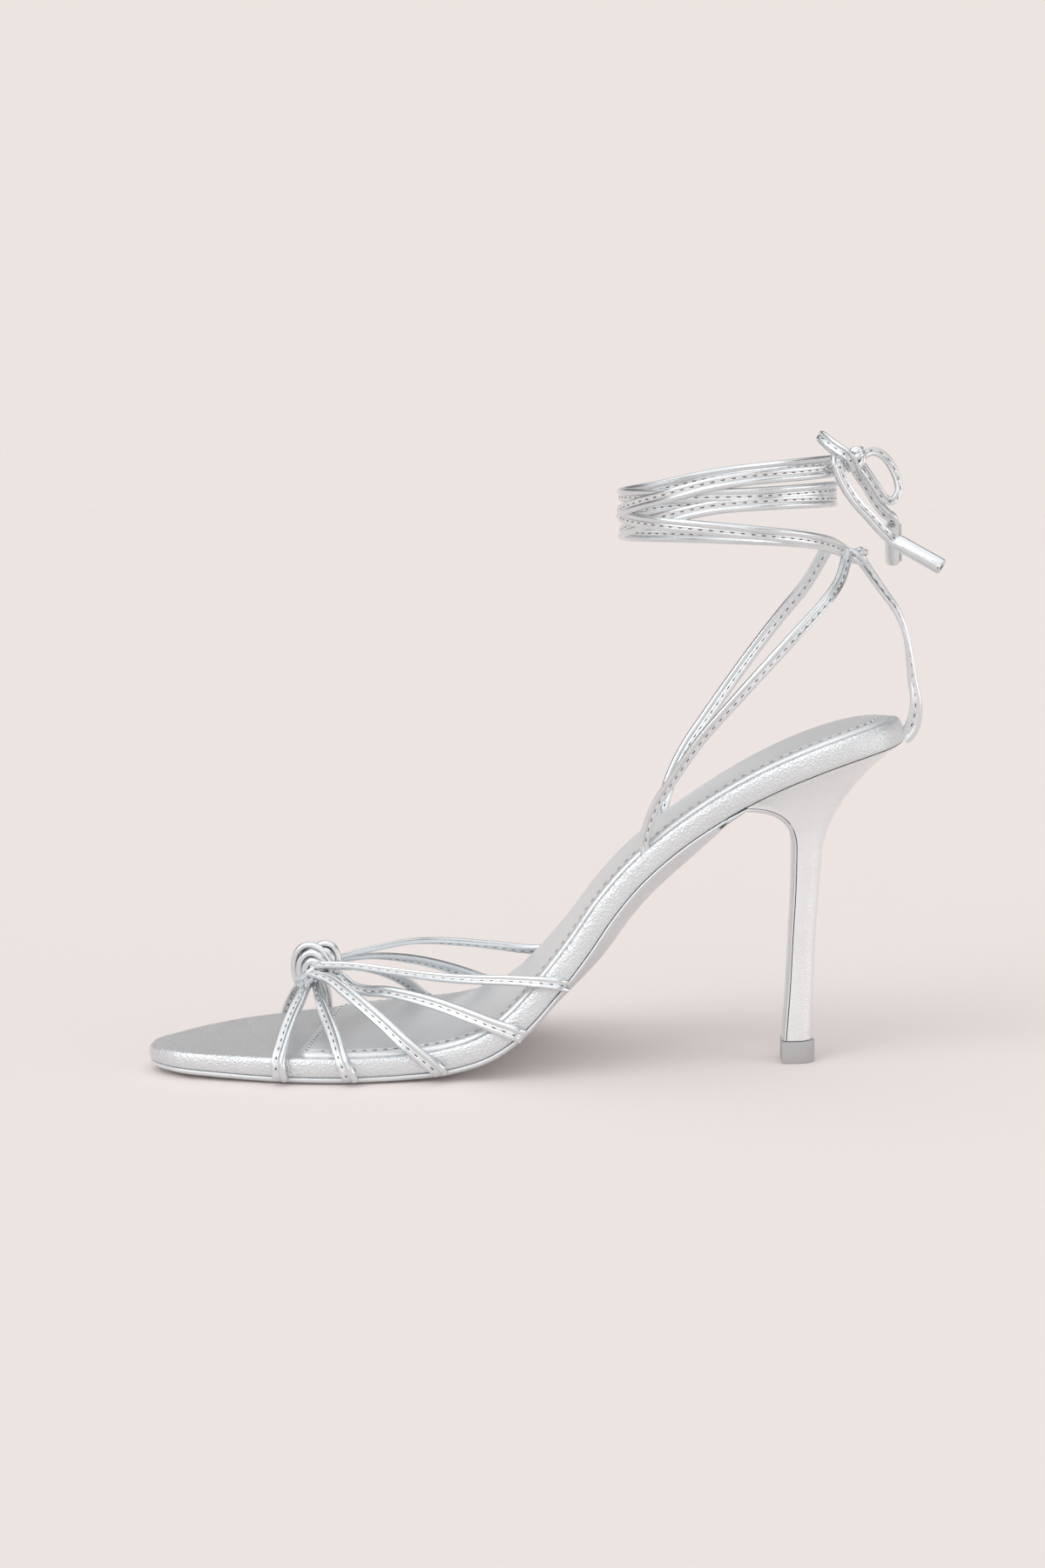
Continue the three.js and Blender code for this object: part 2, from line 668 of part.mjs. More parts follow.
function vamp() {
  const stand = clearance + beadDiameter / 2 + strapEase;
  const pieces = vampStraps.map(({ side, seat, lead, x, y, z, out, up }) => {
    const edge = side < 0 ? innerEdge : outerEdge;
    const start = knotCentre.clone().add(new THREE.Vector3(x, y, z).multiplyScalar(knotRadius));
    const slant = (edge(seat + 0.01) - edge(seat - 0.01)) * ballWidth / (0.02 * pathLength);
    const away = side * stand * Math.hypot(1, slant);
    const top = bend(seat - lead, edge(seat - lead) * ballWidth + away, 0.12 * bandAt(seat));
    const low = bend(seat, edge(seat) * ballWidth + away, 0.96 * bandAt(seat));
    const shoulder = start.clone().lerp(top, 0.5);
    shoulder.y += side * out * ballWidth;
    shoulder.z += up * ballWidth;
    const brow = shoulder.clone().lerp(top, 0.62);
    brow.y += side * 0.025 * ballWidth;
    brow.z += 0.3 * up * ballWidth;
    const outward = (place) => new THREE.Vector3(0, place.y - 0.05 * ballWidth, place.z + 4 - footbedTop);
    const steps = Math.round(start.distanceTo(low) / strapStep);
    return strap([start, shoulder, brow, top, low], outward, steps, side);
  });
  const core = ball(knotRadius, [1, 1, 1.05], knotCentre);
  const rings = knotRings.map(({ tiltX, tiltZ, x, z, wide, high }) => {
    const ring = new THREE.TorusGeometry(knotRadius, knotStrand, 6, 12);
    ring.scale(wide, high, 1);
    ring.rotateX(THREE.MathUtils.degToRad(tiltX));
    ring.rotateZ(THREE.MathUtils.degToRad(tiltZ));
    ring.translate(x * knotRadius, 0, z * knotRadius);
    ring.translate(...knotCentre.toArray());
    return ring;
  });
  add("vamp", join([...pieces, core, ...rings]), silver.leather);
}

// Ankle straps: each rises from its slit in the footbed's edge to the back of the ankle.
const ankleCentre = new THREE.Vector3(seatBack.x - ankleSet, 0, 0);
const laceStart = lacePoint(laceInner[0]);
const laceFinish = lacePoint(laceInner.at(-1));
const besideLace = beadDiameter / 2 + clearance;
const heelKnotHeight = wrapHeight - 0.4 * heelKnotRadius;
const heelKnot = new THREE.Vector3(laceStart.x + besideLace + heelKnotRadius, 0, heelKnotHeight);
const bowKnot = new THREE.Vector3(laceFinish.x + besideLace + bowKnotRadius, 0, wrapHeight + wrapSpan);

function lacePoint({ turn, up, off }) {
  const angle = THREE.MathUtils.degToRad(turn);
  return new THREE.Vector3(
    ankleCentre.x + (ankleLength / 2) * (1 + off) * Math.cos(angle),
    -(ankleWidth / 2) * (1 + off) * Math.sin(angle),
    wrapHeight + up * wrapSpan,
  );
}

function ankleStrap({ name, side, slit, points }) {
  const edge = side < 0 ? innerEdge : outerEdge;
  const inset = beadDiameter / 2 + edgeRound;
  const foot = bend(slit, edge(slit) * ballWidth - side * inset, -clearance - 0.4 * strapWidth);
  const reach = laceStart.x - foot.x;
  const rise = wrapHeight - strapWidth / 2 - clearance - foot.z;
  const route = points.map(({ along, up, out }) =>
    new THREE.Vector3(foot.x + along * reach, side * out * (ankleWidth / 2), foot.z + up * rise));
  const face = (place, t) => new THREE.Vector3(Math.sin(t * 1.1) * 0.8, side * Math.cos(t * 1.1), 0.1);
  add(name, strap([foot, ...route], face, 24, side), silver.leather);
}

// Heel strap: from the seam behind the seat up to the small knot that the laces pass through.
function heelStrap() {
  const behind = clearance + beadDiameter / 2 - edgeRound;
  const foot = new THREE.Vector3(seatBack.x + behind, 0, seatBack.z + 0.4 * strapWidth);
  const reach = heelKnot.x - foot.x;
  const rise = heelKnot.z - foot.z;
  const points = heelStrapLine.map(({ back, up }) =>
    new THREE.Vector3(foot.x - back * reach, 0, foot.z + up * rise));
  points.at(-1).set(heelKnot.x + 0.2 * heelKnotRadius, 0, heelKnot.z - 0.4 * heelKnotRadius);
  const face = () => new THREE.Vector3(1, 0, 0.2);
  const knot = ball(heelKnotRadius, [1, 1.2, 1.25], heelKnot);
  add("heel_strap", join([strap(points, face, 22), knot]), silver.leather);
}

// Ankle laces: two straps wound twice round the ankle in opposite directions, joined where they cross.
function ankleLaces() {
  const outward = (place) => new THREE.Vector3(place.x - ankleCentre.x, place.y, 0);
  const pieces = [laceInner, laceOuter].map((rows) => {
    const heightAt = column(rows, "turn", "up");
    const offAt = column(rows, "turn", "off");
    const first = rows[0].turn;
    const total = rows.at(-1).turn - first;
    const count = Math.round(Math.abs(total) / lacePitch);
    const points = Array.from({ length: count + 1 }, (_, i) => {
      const turn = first + (total * i) / count;
      return lacePoint({ turn, up: heightAt(turn), off: offAt(turn) });
    });
    return strap(points, outward, count, -1);
  });
  add("ankle_laces", join(pieces), silver.leather);
}

// Bow: a knot behind the ankle, two loops, and two ends that carry rolled leather tips.
function bow() {
  add("bow_knot", join([ball(bowKnotRadius, [0.85, 1.1, 1.45], bowKnot)]), silver.leather);
  const place = (point) => new THREE.Vector3(...point).multiplyScalar(bowSpread).add(bowKnot);
  bowPieces.forEach(({ name, points, face }) => {
    const outward = () => new THREE.Vector3(...face);
    add(name, strap(points.map(place), outward, Math.round(points.length * 2.6)), silver.leather);
  });
  laceTips.forEach(({ name, end, lean }) => {
    const { points } = bowPieces.find((piece) => piece.name === end);
    const axis = new THREE.Vector3(...lean).normalize();
    const last = place(points.at(-1));
    const tube = new THREE.CylinderGeometry(tipTubeDiameter / 2, tipTubeDiameter / 2, tipTubeLength, 14);
    tube.applyQuaternion(new THREE.Quaternion().setFromUnitVectors(new THREE.Vector3(0, 1, 0), axis));
    const kink = Math.sin(axis.angleTo(last.clone().sub(place(points.at(-2)))));
    const seat = 2 * clearance + (strapWidth / 2) * kink;
    tube.translate(...last.addScaledVector(axis, tipTubeLength / 2 + seat).toArray());
    add(name, join([tube]), silver.leather);
  });
}

footbed();
sock();
heel();
topLift();
outsole();
vamp();
ankleStraps.forEach(ankleStrap);
heelStrap();
ankleLaces();
bow();

export default model;
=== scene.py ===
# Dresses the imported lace-up heeled sandal. Shapes are worked out in millimetres and made in metres.
import math

import bpy
import numpy as np
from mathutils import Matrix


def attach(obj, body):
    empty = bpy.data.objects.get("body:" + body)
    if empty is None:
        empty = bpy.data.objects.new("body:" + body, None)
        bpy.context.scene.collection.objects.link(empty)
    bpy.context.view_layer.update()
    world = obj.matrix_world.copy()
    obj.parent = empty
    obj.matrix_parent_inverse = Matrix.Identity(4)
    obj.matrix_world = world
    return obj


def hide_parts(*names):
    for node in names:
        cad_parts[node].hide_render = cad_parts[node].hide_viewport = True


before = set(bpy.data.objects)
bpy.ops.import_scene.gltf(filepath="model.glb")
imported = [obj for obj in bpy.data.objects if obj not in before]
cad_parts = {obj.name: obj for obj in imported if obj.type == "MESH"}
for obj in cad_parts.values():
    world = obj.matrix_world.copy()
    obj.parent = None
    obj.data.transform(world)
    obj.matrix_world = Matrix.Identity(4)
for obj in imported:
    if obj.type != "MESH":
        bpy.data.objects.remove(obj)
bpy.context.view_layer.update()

# Camera: the photograph's side view, from the shoe's inner side and a little above
camera = {"place": (73.76, -644.27, 159.22), "lens": 52.0, "turn": 3.0, "down": 7.0}


def makeCamera():
    data = bpy.data.cameras.new("camera")
    data.sensor_width = 36.0
    data.lens = camera["lens"]
    data.clip_start = 0.01
    data.clip_end = 200.0
    holder = bpy.data.objects.new("camera", data)
    holder.location = [value / 1000 for value in camera["place"]]
    holder.rotation_euler = (math.radians(90 - camera["down"]), 0, math.radians(camera["turn"]))
    bpy.context.scene.collection.objects.link(holder)
    bpy.context.scene.camera = holder


makeCamera()
print("camera placed")


# Small helpers for lines, tables and meshes

def unit(rows):
    rows = np.asarray(rows, float)
    return rows / np.maximum(np.linalg.norm(rows, axis=-1, keepdims=True), 1e-9)


def tableCurve(rows, value):
    # smooth lookup through a table of (position, amount) rows
    places = np.array([row[0] for row in rows], float)
    amounts = np.array([row[1] for row in rows], float)
    if places[0] > places[-1]:
        places, amounts = places[::-1], amounts[::-1]
    before = np.maximum(np.arange(len(places)) - 1, 0)
    after = np.minimum(np.arange(len(places)) + 1, len(places) - 1)
    slopes = (amounts[after] - amounts[before]) / (places[after] - places[before])
    value = np.asarray(value, float)
    span = np.clip(np.searchsorted(places, value, side="left") - 1, 0, len(places) - 2)
    width = places[span + 1] - places[span]
    t = np.clip((value - places[span]) / width, 0, 1)
    ease = t * t * (3 - 2 * t)
    leave = slopes[span] * width * t * (1 - t) ** 2
    arrive = slopes[span + 1] * width * t * t * (t - 1)
    return amounts[span] + (amounts[span + 1] - amounts[span]) * ease + leave + arrive


def curveThrough(points, perSpan=30):
    points = np.array(points, float)
    padded = np.vstack([2 * points[0] - points[1], points, 2 * points[-1] - points[-2]])
    out = []
    for i in range(len(points) - 1):
        a, b, c, d = padded[i:i + 4]
        ab, bc, cd = [max(np.linalg.norm(q - p) ** 0.5, 1e-4) for p, q in ((a, b), (b, c), (c, d))]
        leave = ((b - a) / ab - (c - a) / (ab + bc) + (c - b) / bc) * bc
        arrive = ((c - b) / bc - (d - b) / (bc + cd) + (d - c) / cd) * bc
        s = np.linspace(0, 1, perSpan, endpoint=False)[:, None]
        square = -3 * b + 3 * c - 2 * leave - arrive
        cube = 2 * b - 2 * c + leave + arrive
        out.append(b + leave * s + square * s * s + cube * s ** 3)
    return np.vstack(out + [points[-1:]])


def lineLength(line):
    return float(np.linalg.norm(np.diff(line, axis=0), axis=1).sum())


def evenly(line, step):
    # the line's points at an even step, with their directions
    travelled = np.r_[0, np.cumsum(np.linalg.norm(np.diff(line, axis=0), axis=1))]
    count = max(3, int(round(travelled[-1] / step)) + 1)
    places = np.linspace(0, travelled[-1], count)
    spots = np.stack([np.interp(places, travelled, line[:, k]) for k in range(3)], axis=1)
    return spots, unit(np.gradient(spots, axis=0)), places / travelled[-1]


def relaxed(line, reach):
    # the line with its sharp turns eased over a short reach, its ends kept
    spots, _, _ = evenly(line, 0.4)
    weights = np.hanning(2 * int(reach / 0.4) + 3)
    weights /= weights.sum()
    half = len(weights) // 2
    padded = np.vstack([2 * spots[0] - spots[half:0:-1], spots, 2 * spots[-1] - spots[-2:-half - 2:-1]])
    return np.stack([np.convolve(padded[:, k], weights, mode="valid") for k in range(3)], axis=1)


def closeRings(rings, caps=True):
    # quads between equal rings, and one face over each end
    rings = np.asarray(rings, float)
    rows, count = rings.shape[:2]
    r, j = np.meshgrid(np.arange(rows - 1), np.arange(count), indexing="ij")
    a = (r * count + j).ravel()
    b = (r * count + (j + 1) % count).ravel()
    faces = np.stack([a, b, b + count, a + count], axis=1).tolist()
    if caps:
        faces.append(list(range(count))[::-1])
        faces.append([(rows - 1) * count + k for k in range(count)])
    return rings.reshape(-1, 3), faces


def capGrid(ring, columns, move=None):
    # a grid across a ring, from its first half to its second half
    half = len(ring) // 2
    share = np.linspace(0, 1, columns + 1)[None, :, None]
    left = ring[:half][:, None, :]
    right = ring[half:][::-1][:, None, :]
    grid = left + (right - left) * share
    if move:
        grid = move(grid, share[0, :, 0])
    index = np.arange(half * (columns + 1)).reshape(half, columns + 1)
    faces = np.stack([index[:-1, :-1], index[:-1, 1:], index[1:, 1:], index[1:, :-1]], axis=-1)
    return grid.reshape(-1, 3), faces.reshape(-1, 4).tolist()


def joined(*parts):
    # several (points, faces) parts as one
    points, faces, base = [], [], 0
    for partPoints, partFaces in parts:
        points.append(partPoints)
        faces += [[k + base for k in face] for face in partFaces]
        base += len(partPoints)
    return np.vstack(points), faces


def flipped(part):
    return part[0], [face[::-1] for face in part[1]]


def circle(count):
    # even turns round a circle, as (cosine, sine) rows
    turns = np.linspace(0, 2 * math.pi, count, endpoint=False)
    return np.stack([np.cos(turns), np.sin(turns)], axis=1)


def turned(part):
    # the same part with its faces looking out
    points, faces = part
    volume = 0.0
    for face in faces:
        corner = points[face[0]]
        for k in range(1, len(face) - 1):
            volume += np.dot(corner, np.cross(points[face[k]], points[face[k + 1]]))
    return flipped(part) if volume < 0 else part


def makePiece(name, parts, materials, nodes=(), sharp=45.0):
    # one mesh from parts of (points, faces, material number); it rides on the one body
    points, faces, numbers, base = [], [], [], 0
    for partPoints, partFaces, number in parts:
        points.append(np.asarray(partPoints, float) / 1000)
        faces += [[k + base for k in face] for face in partFaces]
        numbers += [number] * len(partFaces)
        base += len(partPoints)
    mesh = bpy.data.meshes.new(name)
    mesh.from_pydata(np.vstack(points).tolist(), [], faces)
    for material in materials:
        mesh.materials.append(material)
    mesh.polygons.foreach_set("material_index", numbers)
    mesh.polygons.foreach_set("use_smooth", [True] * len(faces))
    mesh.update()
    mesh.set_sharp_from_angle(angle=math.radians(sharp))
    piece = bpy.data.objects.new(name, mesh)
    bpy.context.scene.collection.objects.link(piece)
    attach(piece, "root")
    if nodes:
        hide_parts(*nodes)
    return piece


# Materials: silver leathers with their own grain, the heel's lightened as painted light, thread, painted
# shade for the stitch holes and tube ends, moulded heel tip

def addNode(tree, kind, place, **values):
    node = tree.nodes.new(kind)
    node.location = place
    for key, value in values.items():
        setattr(node, key, value)
    return node


# what all the leathers share: the small grain, its weight, how the gloss varies, and depth in millimetres
leather = {"fineShare": 0.45, "fineWeight": 0.6, "cellSoft": 0.35, "sleeker": 0.05, "duller": 0.07,
           "grainDepth": 0.25, "coatRough": 0.28}


def addNoise(tree, where, place, size, detail=2.0):
    # cloudy noise of a size in millimetres, fixed to the piece
    noise = addNode(tree, "ShaderNodeTexNoise", place)
    noise.inputs["Scale"].default_value = 1000 / size
    noise.inputs["Detail"].default_value = detail
    tree.links.new(where.outputs["Object"], noise.inputs["Vector"])
    return noise


def addRange(tree, source, place, start, end, low, high):
    # a noise's strength from start to end, spread from low to high
    spread = addNode(tree, "ShaderNodeMapRange", place)
    for key, value in (("From Min", start), ("From Max", end), ("To Min", low), ("To Max", high)):
        spread.inputs[key].default_value = value
    tree.links.new(source.outputs["Fac"], spread.inputs["Value"])
    return spread


def addTint(tree, shade, place, color):
    # a colour, shaded
    tint = addNode(tree, "ShaderNodeMix", place, data_type="RGBA", blend_type="MULTIPLY")
    tint.inputs["Factor"].default_value = 1.0
    tint.inputs["A"].default_value = (*color, 1)
    tree.links.new(shade.outputs["Result"], tint.inputs["B"])
    return tint


def newMaterial(name, place):
    # a material with its tree, shader and coordinates
    material = bpy.data.materials.new(name)
    material.use_nodes = True
    tree = material.node_tree
    return material, tree, tree.nodes["Principled BSDF"], addNode(tree, "ShaderNodeTexCoord", place)


def silverLeather(name, look):
    material, tree, shader, where = newMaterial(name, (-1400, 0))
    link = tree.links.new

    cells = addNode(tree, "ShaderNodeTexVoronoi", (-1100, 200), feature="SMOOTH_F1")
    cells.inputs["Scale"].default_value = 1000 / look["grainSize"]
    cells.inputs["Smoothness"].default_value = leather["cellSoft"]
    link(where.outputs["Object"], cells.inputs["Vector"])
    fine = addNoise(tree, where, (-1100, -60), leather["fineShare"] * look["grainSize"], 3.0)
    broad = addNoise(tree, where, (-1100, -320), look["cloudSize"], 4.0)

    grain = addNode(tree, "ShaderNodeMath", (-860, 120), operation="MULTIPLY_ADD")
    grain.inputs[1].default_value = leather["fineWeight"]
    link(fine.outputs["Fac"], grain.inputs[0])
    link(cells.outputs["Distance"], grain.inputs[2])

    shade = addRange(tree, broad, (-640, -300), 0.3, 0.7, 1 - look["cloud"], 1.0)
    link(addTint(tree, shade, (-420, -160), look["color"]).outputs["Result"], shader.inputs["Base Color"])
    gloss = addRange(tree, fine, (-420, -420), 0.25, 0.75,
                     look["rough"] - leather["sleeker"], look["rough"] + leather["duller"])
    link(gloss.outputs["Result"], shader.inputs["Roughness"])

    bump = addNode(tree, "ShaderNodeBump", (-420, 160))
    bump.inputs["Strength"].default_value = look["grain"]
    bump.inputs["Distance"].default_value = leather["grainDepth"] / 1000
    link(grain.outputs["Value"], bump.inputs["Height"])
    link(bump.outputs["Normal"], shader.inputs["Normal"])
    shader.inputs["Metallic"].default_value = look["metal"]
    shader.inputs["Coat Weight"].default_value = look["coat"]
    shader.inputs["Coat Roughness"].default_value = leather["coatRough"]
    return material


def plainMaterial(name, color, rough, metal=0.0, speckSize=0.5, speck=0.08):
    material, tree, shader, where = newMaterial(name, (-900, 0))
    noise = addNoise(tree, where, (-700, 0), speckSize)
    shade = addRange(tree, noise, (-500, 0), 0.0, 1.0, 1 - speck, 1 + speck)
    tree.links.new(addTint(tree, shade, (-280, 0), color).outputs["Result"], shader.inputs["Base Color"])
    shader.inputs["Roughness"].default_value = rough
    shader.inputs["Metallic"].default_value = metal
    return material


strapSilver = silverLeather("strapSilver", {
    "color": (0.75, 0.78, 0.80), "metal": 0.88, "rough": 0.22, "grainSize": 0.5, "grain": 0.1,
    "cloudSize": 7.0, "cloud": 0.07, "coat": 0.15,
})
bandSilver = silverLeather("bandSilver", {
    "color": (0.73, 0.76, 0.78), "metal": 0.8, "rough": 0.3, "grainSize": 0.62, "grain": 0.75,
    "cloudSize": 14.0, "cloud": 0.05, "coat": 0.1,
})
sockSilver = silverLeather("sockSilver", {
    "color": (0.78, 0.80, 0.815), "metal": 0.6, "rough": 0.4, "grainSize": 0.5, "grain": 0.25,
    "cloudSize": 22.0, "cloud": 0.05, "coat": 0.05,
})
# lighter than the other leathers: partly the heel's own pearly silver, partly painted light for the brightly
# lit cup and column
heelSilverWithPaintedLight = silverLeather("heelSilverWithPaintedLight", {
    "color": (0.89, 0.92, 0.935), "metal": 0.82, "rough": 0.32, "grainSize": 0.6, "grain": 0.4,
    "cloudSize": 18.0, "cloud": 0.05, "coat": 0.1,
})
soleSilver = silverLeather("soleSilver", {
    "color": (0.77, 0.80, 0.82), "metal": 0.62, "rough": 0.38, "grainSize": 0.5, "grain": 0.15,
    "cloudSize": 20.0, "cloud": 0.06, "coat": 0.0,
})
threadSilver = plainMaterial("threadSilver", (0.78, 0.78, 0.79), 0.5, metal=0.35)
threadWhite = plainMaterial("threadWhite", (0.9, 0.9, 0.91), 0.6, metal=0.1)
# painted shade: dark grey for the shadowed needle holes and the hollow ends of the rolled tips
paintedHoleShade = plainMaterial("paintedHoleShade", (0.1, 0.1, 0.105), 0.85)
tipGrey = plainMaterial("tipGrey", (0.44, 0.44, 0.45), 0.55, speckSize=0.3, speck=0.05)
strapMaterialsWithHoleShade = [strapSilver, threadSilver, paintedHoleShade]
print("materials made")


def strapPiece(name, parts, node, sharp=45.0):
    return makePiece(name, parts, strapMaterialsWithHoleShade, [node], sharp)


# Straps: leather folded round a cord along one edge, and stitched beside it
strap = {
    "width": 3.8, "bead": 1.9, "flange": 1.1, "step": 0.9,
    "stitchLine": -0.55, "stitchPitch": 2.9, "stitchLength": 1.7, "threadSize": 0.36, "threadRise": 0.8,
    # the hole sizes are those of the dark discs of painted shade in the needle holes
    "threadSeat": 0.86, "endTrim": 1.6, "holeProud": 0.03, "holeCrown": 0.05,
    "holeLength": 1.3, "holeWidth": 0.58,
}


def strapSection():
    # a round bead on one edge, a flat flange on the other, and a shallow groove for the thread
    half, roundHalf, flat = strap["width"] / 2, strap["bead"] / 2, strap["flange"] / 2
    centre = half - roundHalf
    turns = np.radians(np.linspace(-138, 138, 15))
    bead = np.stack([centre + roundHalf * np.cos(turns), roundHalf * np.sin(turns)], axis=1)
    top = np.array([
        [0.04, flat * 0.8], [-0.16, flat * 0.98], [-0.36, flat * 0.96], [strap["stitchLine"], flat * 0.84],
        [-0.75, flat * 0.96], [-1.0, flat], [-half + 0.3, flat], [-half + 0.08, flat * 0.6], [-half, 0],
    ])
    under = (top[:-1] * [1, -1])[::-1]
    return np.vstack([bead, top, under])


stripSection = strapSection()


def strapFrame(line, outward, step, side=1):
    # spots along a line, and the directions across the strap and out of its flat face
    spots, ways, shares = evenly(line, step)
    faces = np.array([outward(spot, share) for spot, share in zip(spots, shares)], float)
    faces = unit(faces - ways * (faces * ways).sum(axis=1, keepdims=True))
    return spots, ways, np.cross(ways, faces) * side, faces


def capsule(start, end, wide, high, lift):
    # a short thread lying on a surface, its ends turned down
    axis = end - start
    long = np.linalg.norm(axis)
    axis = axis / long
    across = unit(np.cross(lift, axis))
    rows = []
    for share, size in ((0.0, 0.35), (0.12, 0.85), (0.5, 1.0), (0.88, 0.85), (1.0, 0.35)):
        middle = start + axis * long * share + lift * high * (size - 0.75)
        rows.append([middle + (across * c * wide + lift * s * high) * 0.5 * size for c, s in circle(6)])
    return closeRings(rows)


def paintedShadePit(middle, axis, lift, long, wide):
    # a disc painted dark as the shade in a pinhole between two stitches, level with the leather
    across = unit(np.cross(lift, axis))
    ring = [middle + axis * c * long / 2 + across * s * wide / 2 for c, s in circle(8)]
    points = np.array(ring + [middle + lift * strap["holeCrown"]])
    return points, [[k, (k + 1) % 8, 8] for k in range(8)]


def stitchParts(spots, offset, height, lift, trim=strap["endTrim"], thread=strap["threadSize"],
                rise=strap["threadRise"]):
    # threads, and discs of painted shade for the pinholes, along a line of spots; offset and lift are rows of
    # directions
    route = spots + offset + lift * height
    travelled = np.r_[0, np.cumsum(np.linalg.norm(np.diff(route, axis=0), axis=1))]
    count = int((travelled[-1] - 2 * trim) / strap["stitchPitch"])
    parts = []

    def at(distance):
        spot = np.array([np.interp(distance, travelled, route[:, k]) for k in range(3)])
        up = unit(np.array([np.interp(distance, travelled, lift[:, k]) for k in range(3)]))
        return spot, up

    for i in range(count):
        first = trim + i * strap["stitchPitch"]
        start, up = at(first)
        end, _ = at(first + strap["stitchLength"])
        after, holeUp = at(first + (strap["stitchPitch"] + strap["stitchLength"]) / 2)
        parts.append((*capsule(start, end, thread, thread * rise, up), 1))
        way = unit(end - start)
        middle = after + holeUp * strap["holeProud"]
        # the pinhole is a dark disc of painted shade
        parts.append((*paintedShadePit(middle, way, holeUp, strap["holeLength"], strap["holeWidth"]), 2))
    return parts


def strapParts(line, outward, side=1, widths=None):
    spots, ways, across, faces = strapFrame(line, outward, strap["step"], side)
    if widths:
        across = across * tableCurve(widths, np.linspace(0, 1, len(spots)))[:, None]
    rings = (spots[:, None, :] + across[:, None, :] * stripSection[None, :, :1]
             + faces[:, None, :] * stripSection[None, :, 1:])
    parts = [(*turned(closeRings(rings)), 0)]
    height = strap["flange"] / 2 * strap["threadSeat"]
    offset = across * strap["stitchLine"]
    for out in (faces, -faces):
        parts += stitchParts(spots, offset, height, out)
    return parts


def strandParts(line, size, lift=(0, -1, 0)):
    # a plump fold of strap in a knot
    spots, ways, _ = evenly(line, 0.55)
    lift = np.array(lift, float)
    faces = unit(lift - ways * (ways @ lift)[:, None])
    across = np.cross(ways, faces)
    turns = circle(12)
    ring = (across[:, None, :] * turns[None, :, :1] + faces[:, None, :] * turns[None, :, 1:]) * size
    return [(*turned(closeRings(spots[:, None, :] + ring)), 0)]


def coreBall(middle, size):
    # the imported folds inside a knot
    rings = []
    for tilt in np.radians(np.linspace(-84, 84, 12)):
        ring = np.c_[circle(20) * math.cos(tilt), np.full(20, math.sin(tilt))]
        rings.append(middle + ring * size)
    return turned(closeRings(rings))


# The last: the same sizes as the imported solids
last = {"length": 212.0, "ball": 77.0, "rise": 92.8, "tread": 0.307}
lastLine = [
    (0.0, 0.003, 0.85), (0.113, 0.0, 0.93), (0.179, 0.0, 1.0), (0.307, 0.0, 1.0), (0.345, 0.004, 1.03),
    (0.401, 0.02, 1.1), (0.448, 0.058, 1.15), (0.486, 0.123, 1.17), (0.524, 0.22, 1.17), (0.562, 0.33, 1.15),
    (0.599, 0.452, 1.13), (0.637, 0.554, 1.12), (0.684, 0.651, 1.13), (0.741, 0.746, 1.17),
    (0.807, 0.837, 1.23), (0.88, 0.915, 1.28), (0.944, 0.967, 1.3), (1.0, 1.0, 1.3),
]
outline = [
    (0.0, -0.27, -0.2), (0.006, -0.31, -0.15), (0.018, -0.352, -0.09), (0.042, -0.402, 0.03),
    (0.085, -0.437, 0.185), (0.14, -0.464, 0.31), (0.19, -0.478, 0.41), (0.24, -0.472, 0.505),
    (0.295, -0.437, 0.568), (0.35, -0.41, 0.58), (0.4, -0.4, 0.542), (0.47, -0.367, 0.445),
    (0.56, -0.326, 0.348), (0.65, -0.29, 0.277), (0.72, -0.272, 0.254), (0.78, -0.267, 0.262),
    (0.84, -0.275, 0.288), (0.89, -0.284, 0.304), (0.94, -0.264, 0.268), (0.975, -0.2, 0.19),
    (0.993, -0.105, 0.09), (1.0, -0.035, 0.025),
]
sole = {"thick": 2.0, "waist": 0.65, "camber": 4.6, "flap": 1.0, "band": 5.4, "press": 0.15, "gap": 0.3,
        "seam": 0.12}
footbedTop = sole["thick"] + sole["gap"] + sole["band"] - sole["press"]
lastPoints = [((at - last["tread"]) * last["length"], 0, footbedTop + rise * last["rise"])
              for at, rise, _ in lastLine]
lastCurve = curveThrough(lastPoints, 60)
lastSpots, lastWays, lastShares = evenly(lastCurve, 0.4)
pathLength = lineLength(lastCurve)


def bendAt(along, y, depth):
    # a spot of the flat pattern on the bent last
    along, y, depth = np.broadcast_arrays(*[np.asarray(value, float) for value in (along, y, depth)])
    inside = np.clip(along, 0, 1)
    spot = np.stack([np.interp(inside, lastShares, lastSpots[:, k]) for k in range(3)], axis=-1)
    way = unit(np.stack([np.interp(inside, lastShares, lastWays[:, k]) for k in range(3)], axis=-1))
    spot = spot + way * ((along - inside) * pathLength)[..., None]
    down = np.stack([way[..., 2], np.zeros_like(inside), -way[..., 0]], axis=-1)
    spot = spot + down * depth[..., None]
    spot[..., 1] = y
    return spot


def bandAt(along):
    x = np.interp(np.clip(along, 0, 1), lastShares, lastSpots[:, 0])
    deeper = tableCurve([(row[0], row[2]) for row in lastLine], x / last["length"] + last["tread"])
    return sole["band"] * deeper


def innerEdge(along):
    return tableCurve([(row[0], row[1]) for row in outline], along) * last["ball"]


def outerEdge(along):
    return tableCurve([(row[0], row[2]) for row in outline], along) * last["ball"]


def patternLoop(stations, inset):
    # the flat outline, down the inner side and back up the outer one, drawn in by an inset
    inner = np.stack([stations * pathLength, innerEdge(stations)], axis=1)
    outer = np.stack([stations * pathLength, outerEdge(stations)], axis=1)[::-1]
    flat = np.vstack([inner, outer])
    inward = unit(np.roll(flat, -1, axis=0) - np.roll(flat, 1, axis=0))
    moved = flat + np.stack([-inward[:, 1], inward[:, 0]], axis=1) * inset
    return moved[:, 0] / pathLength, moved[:, 1]


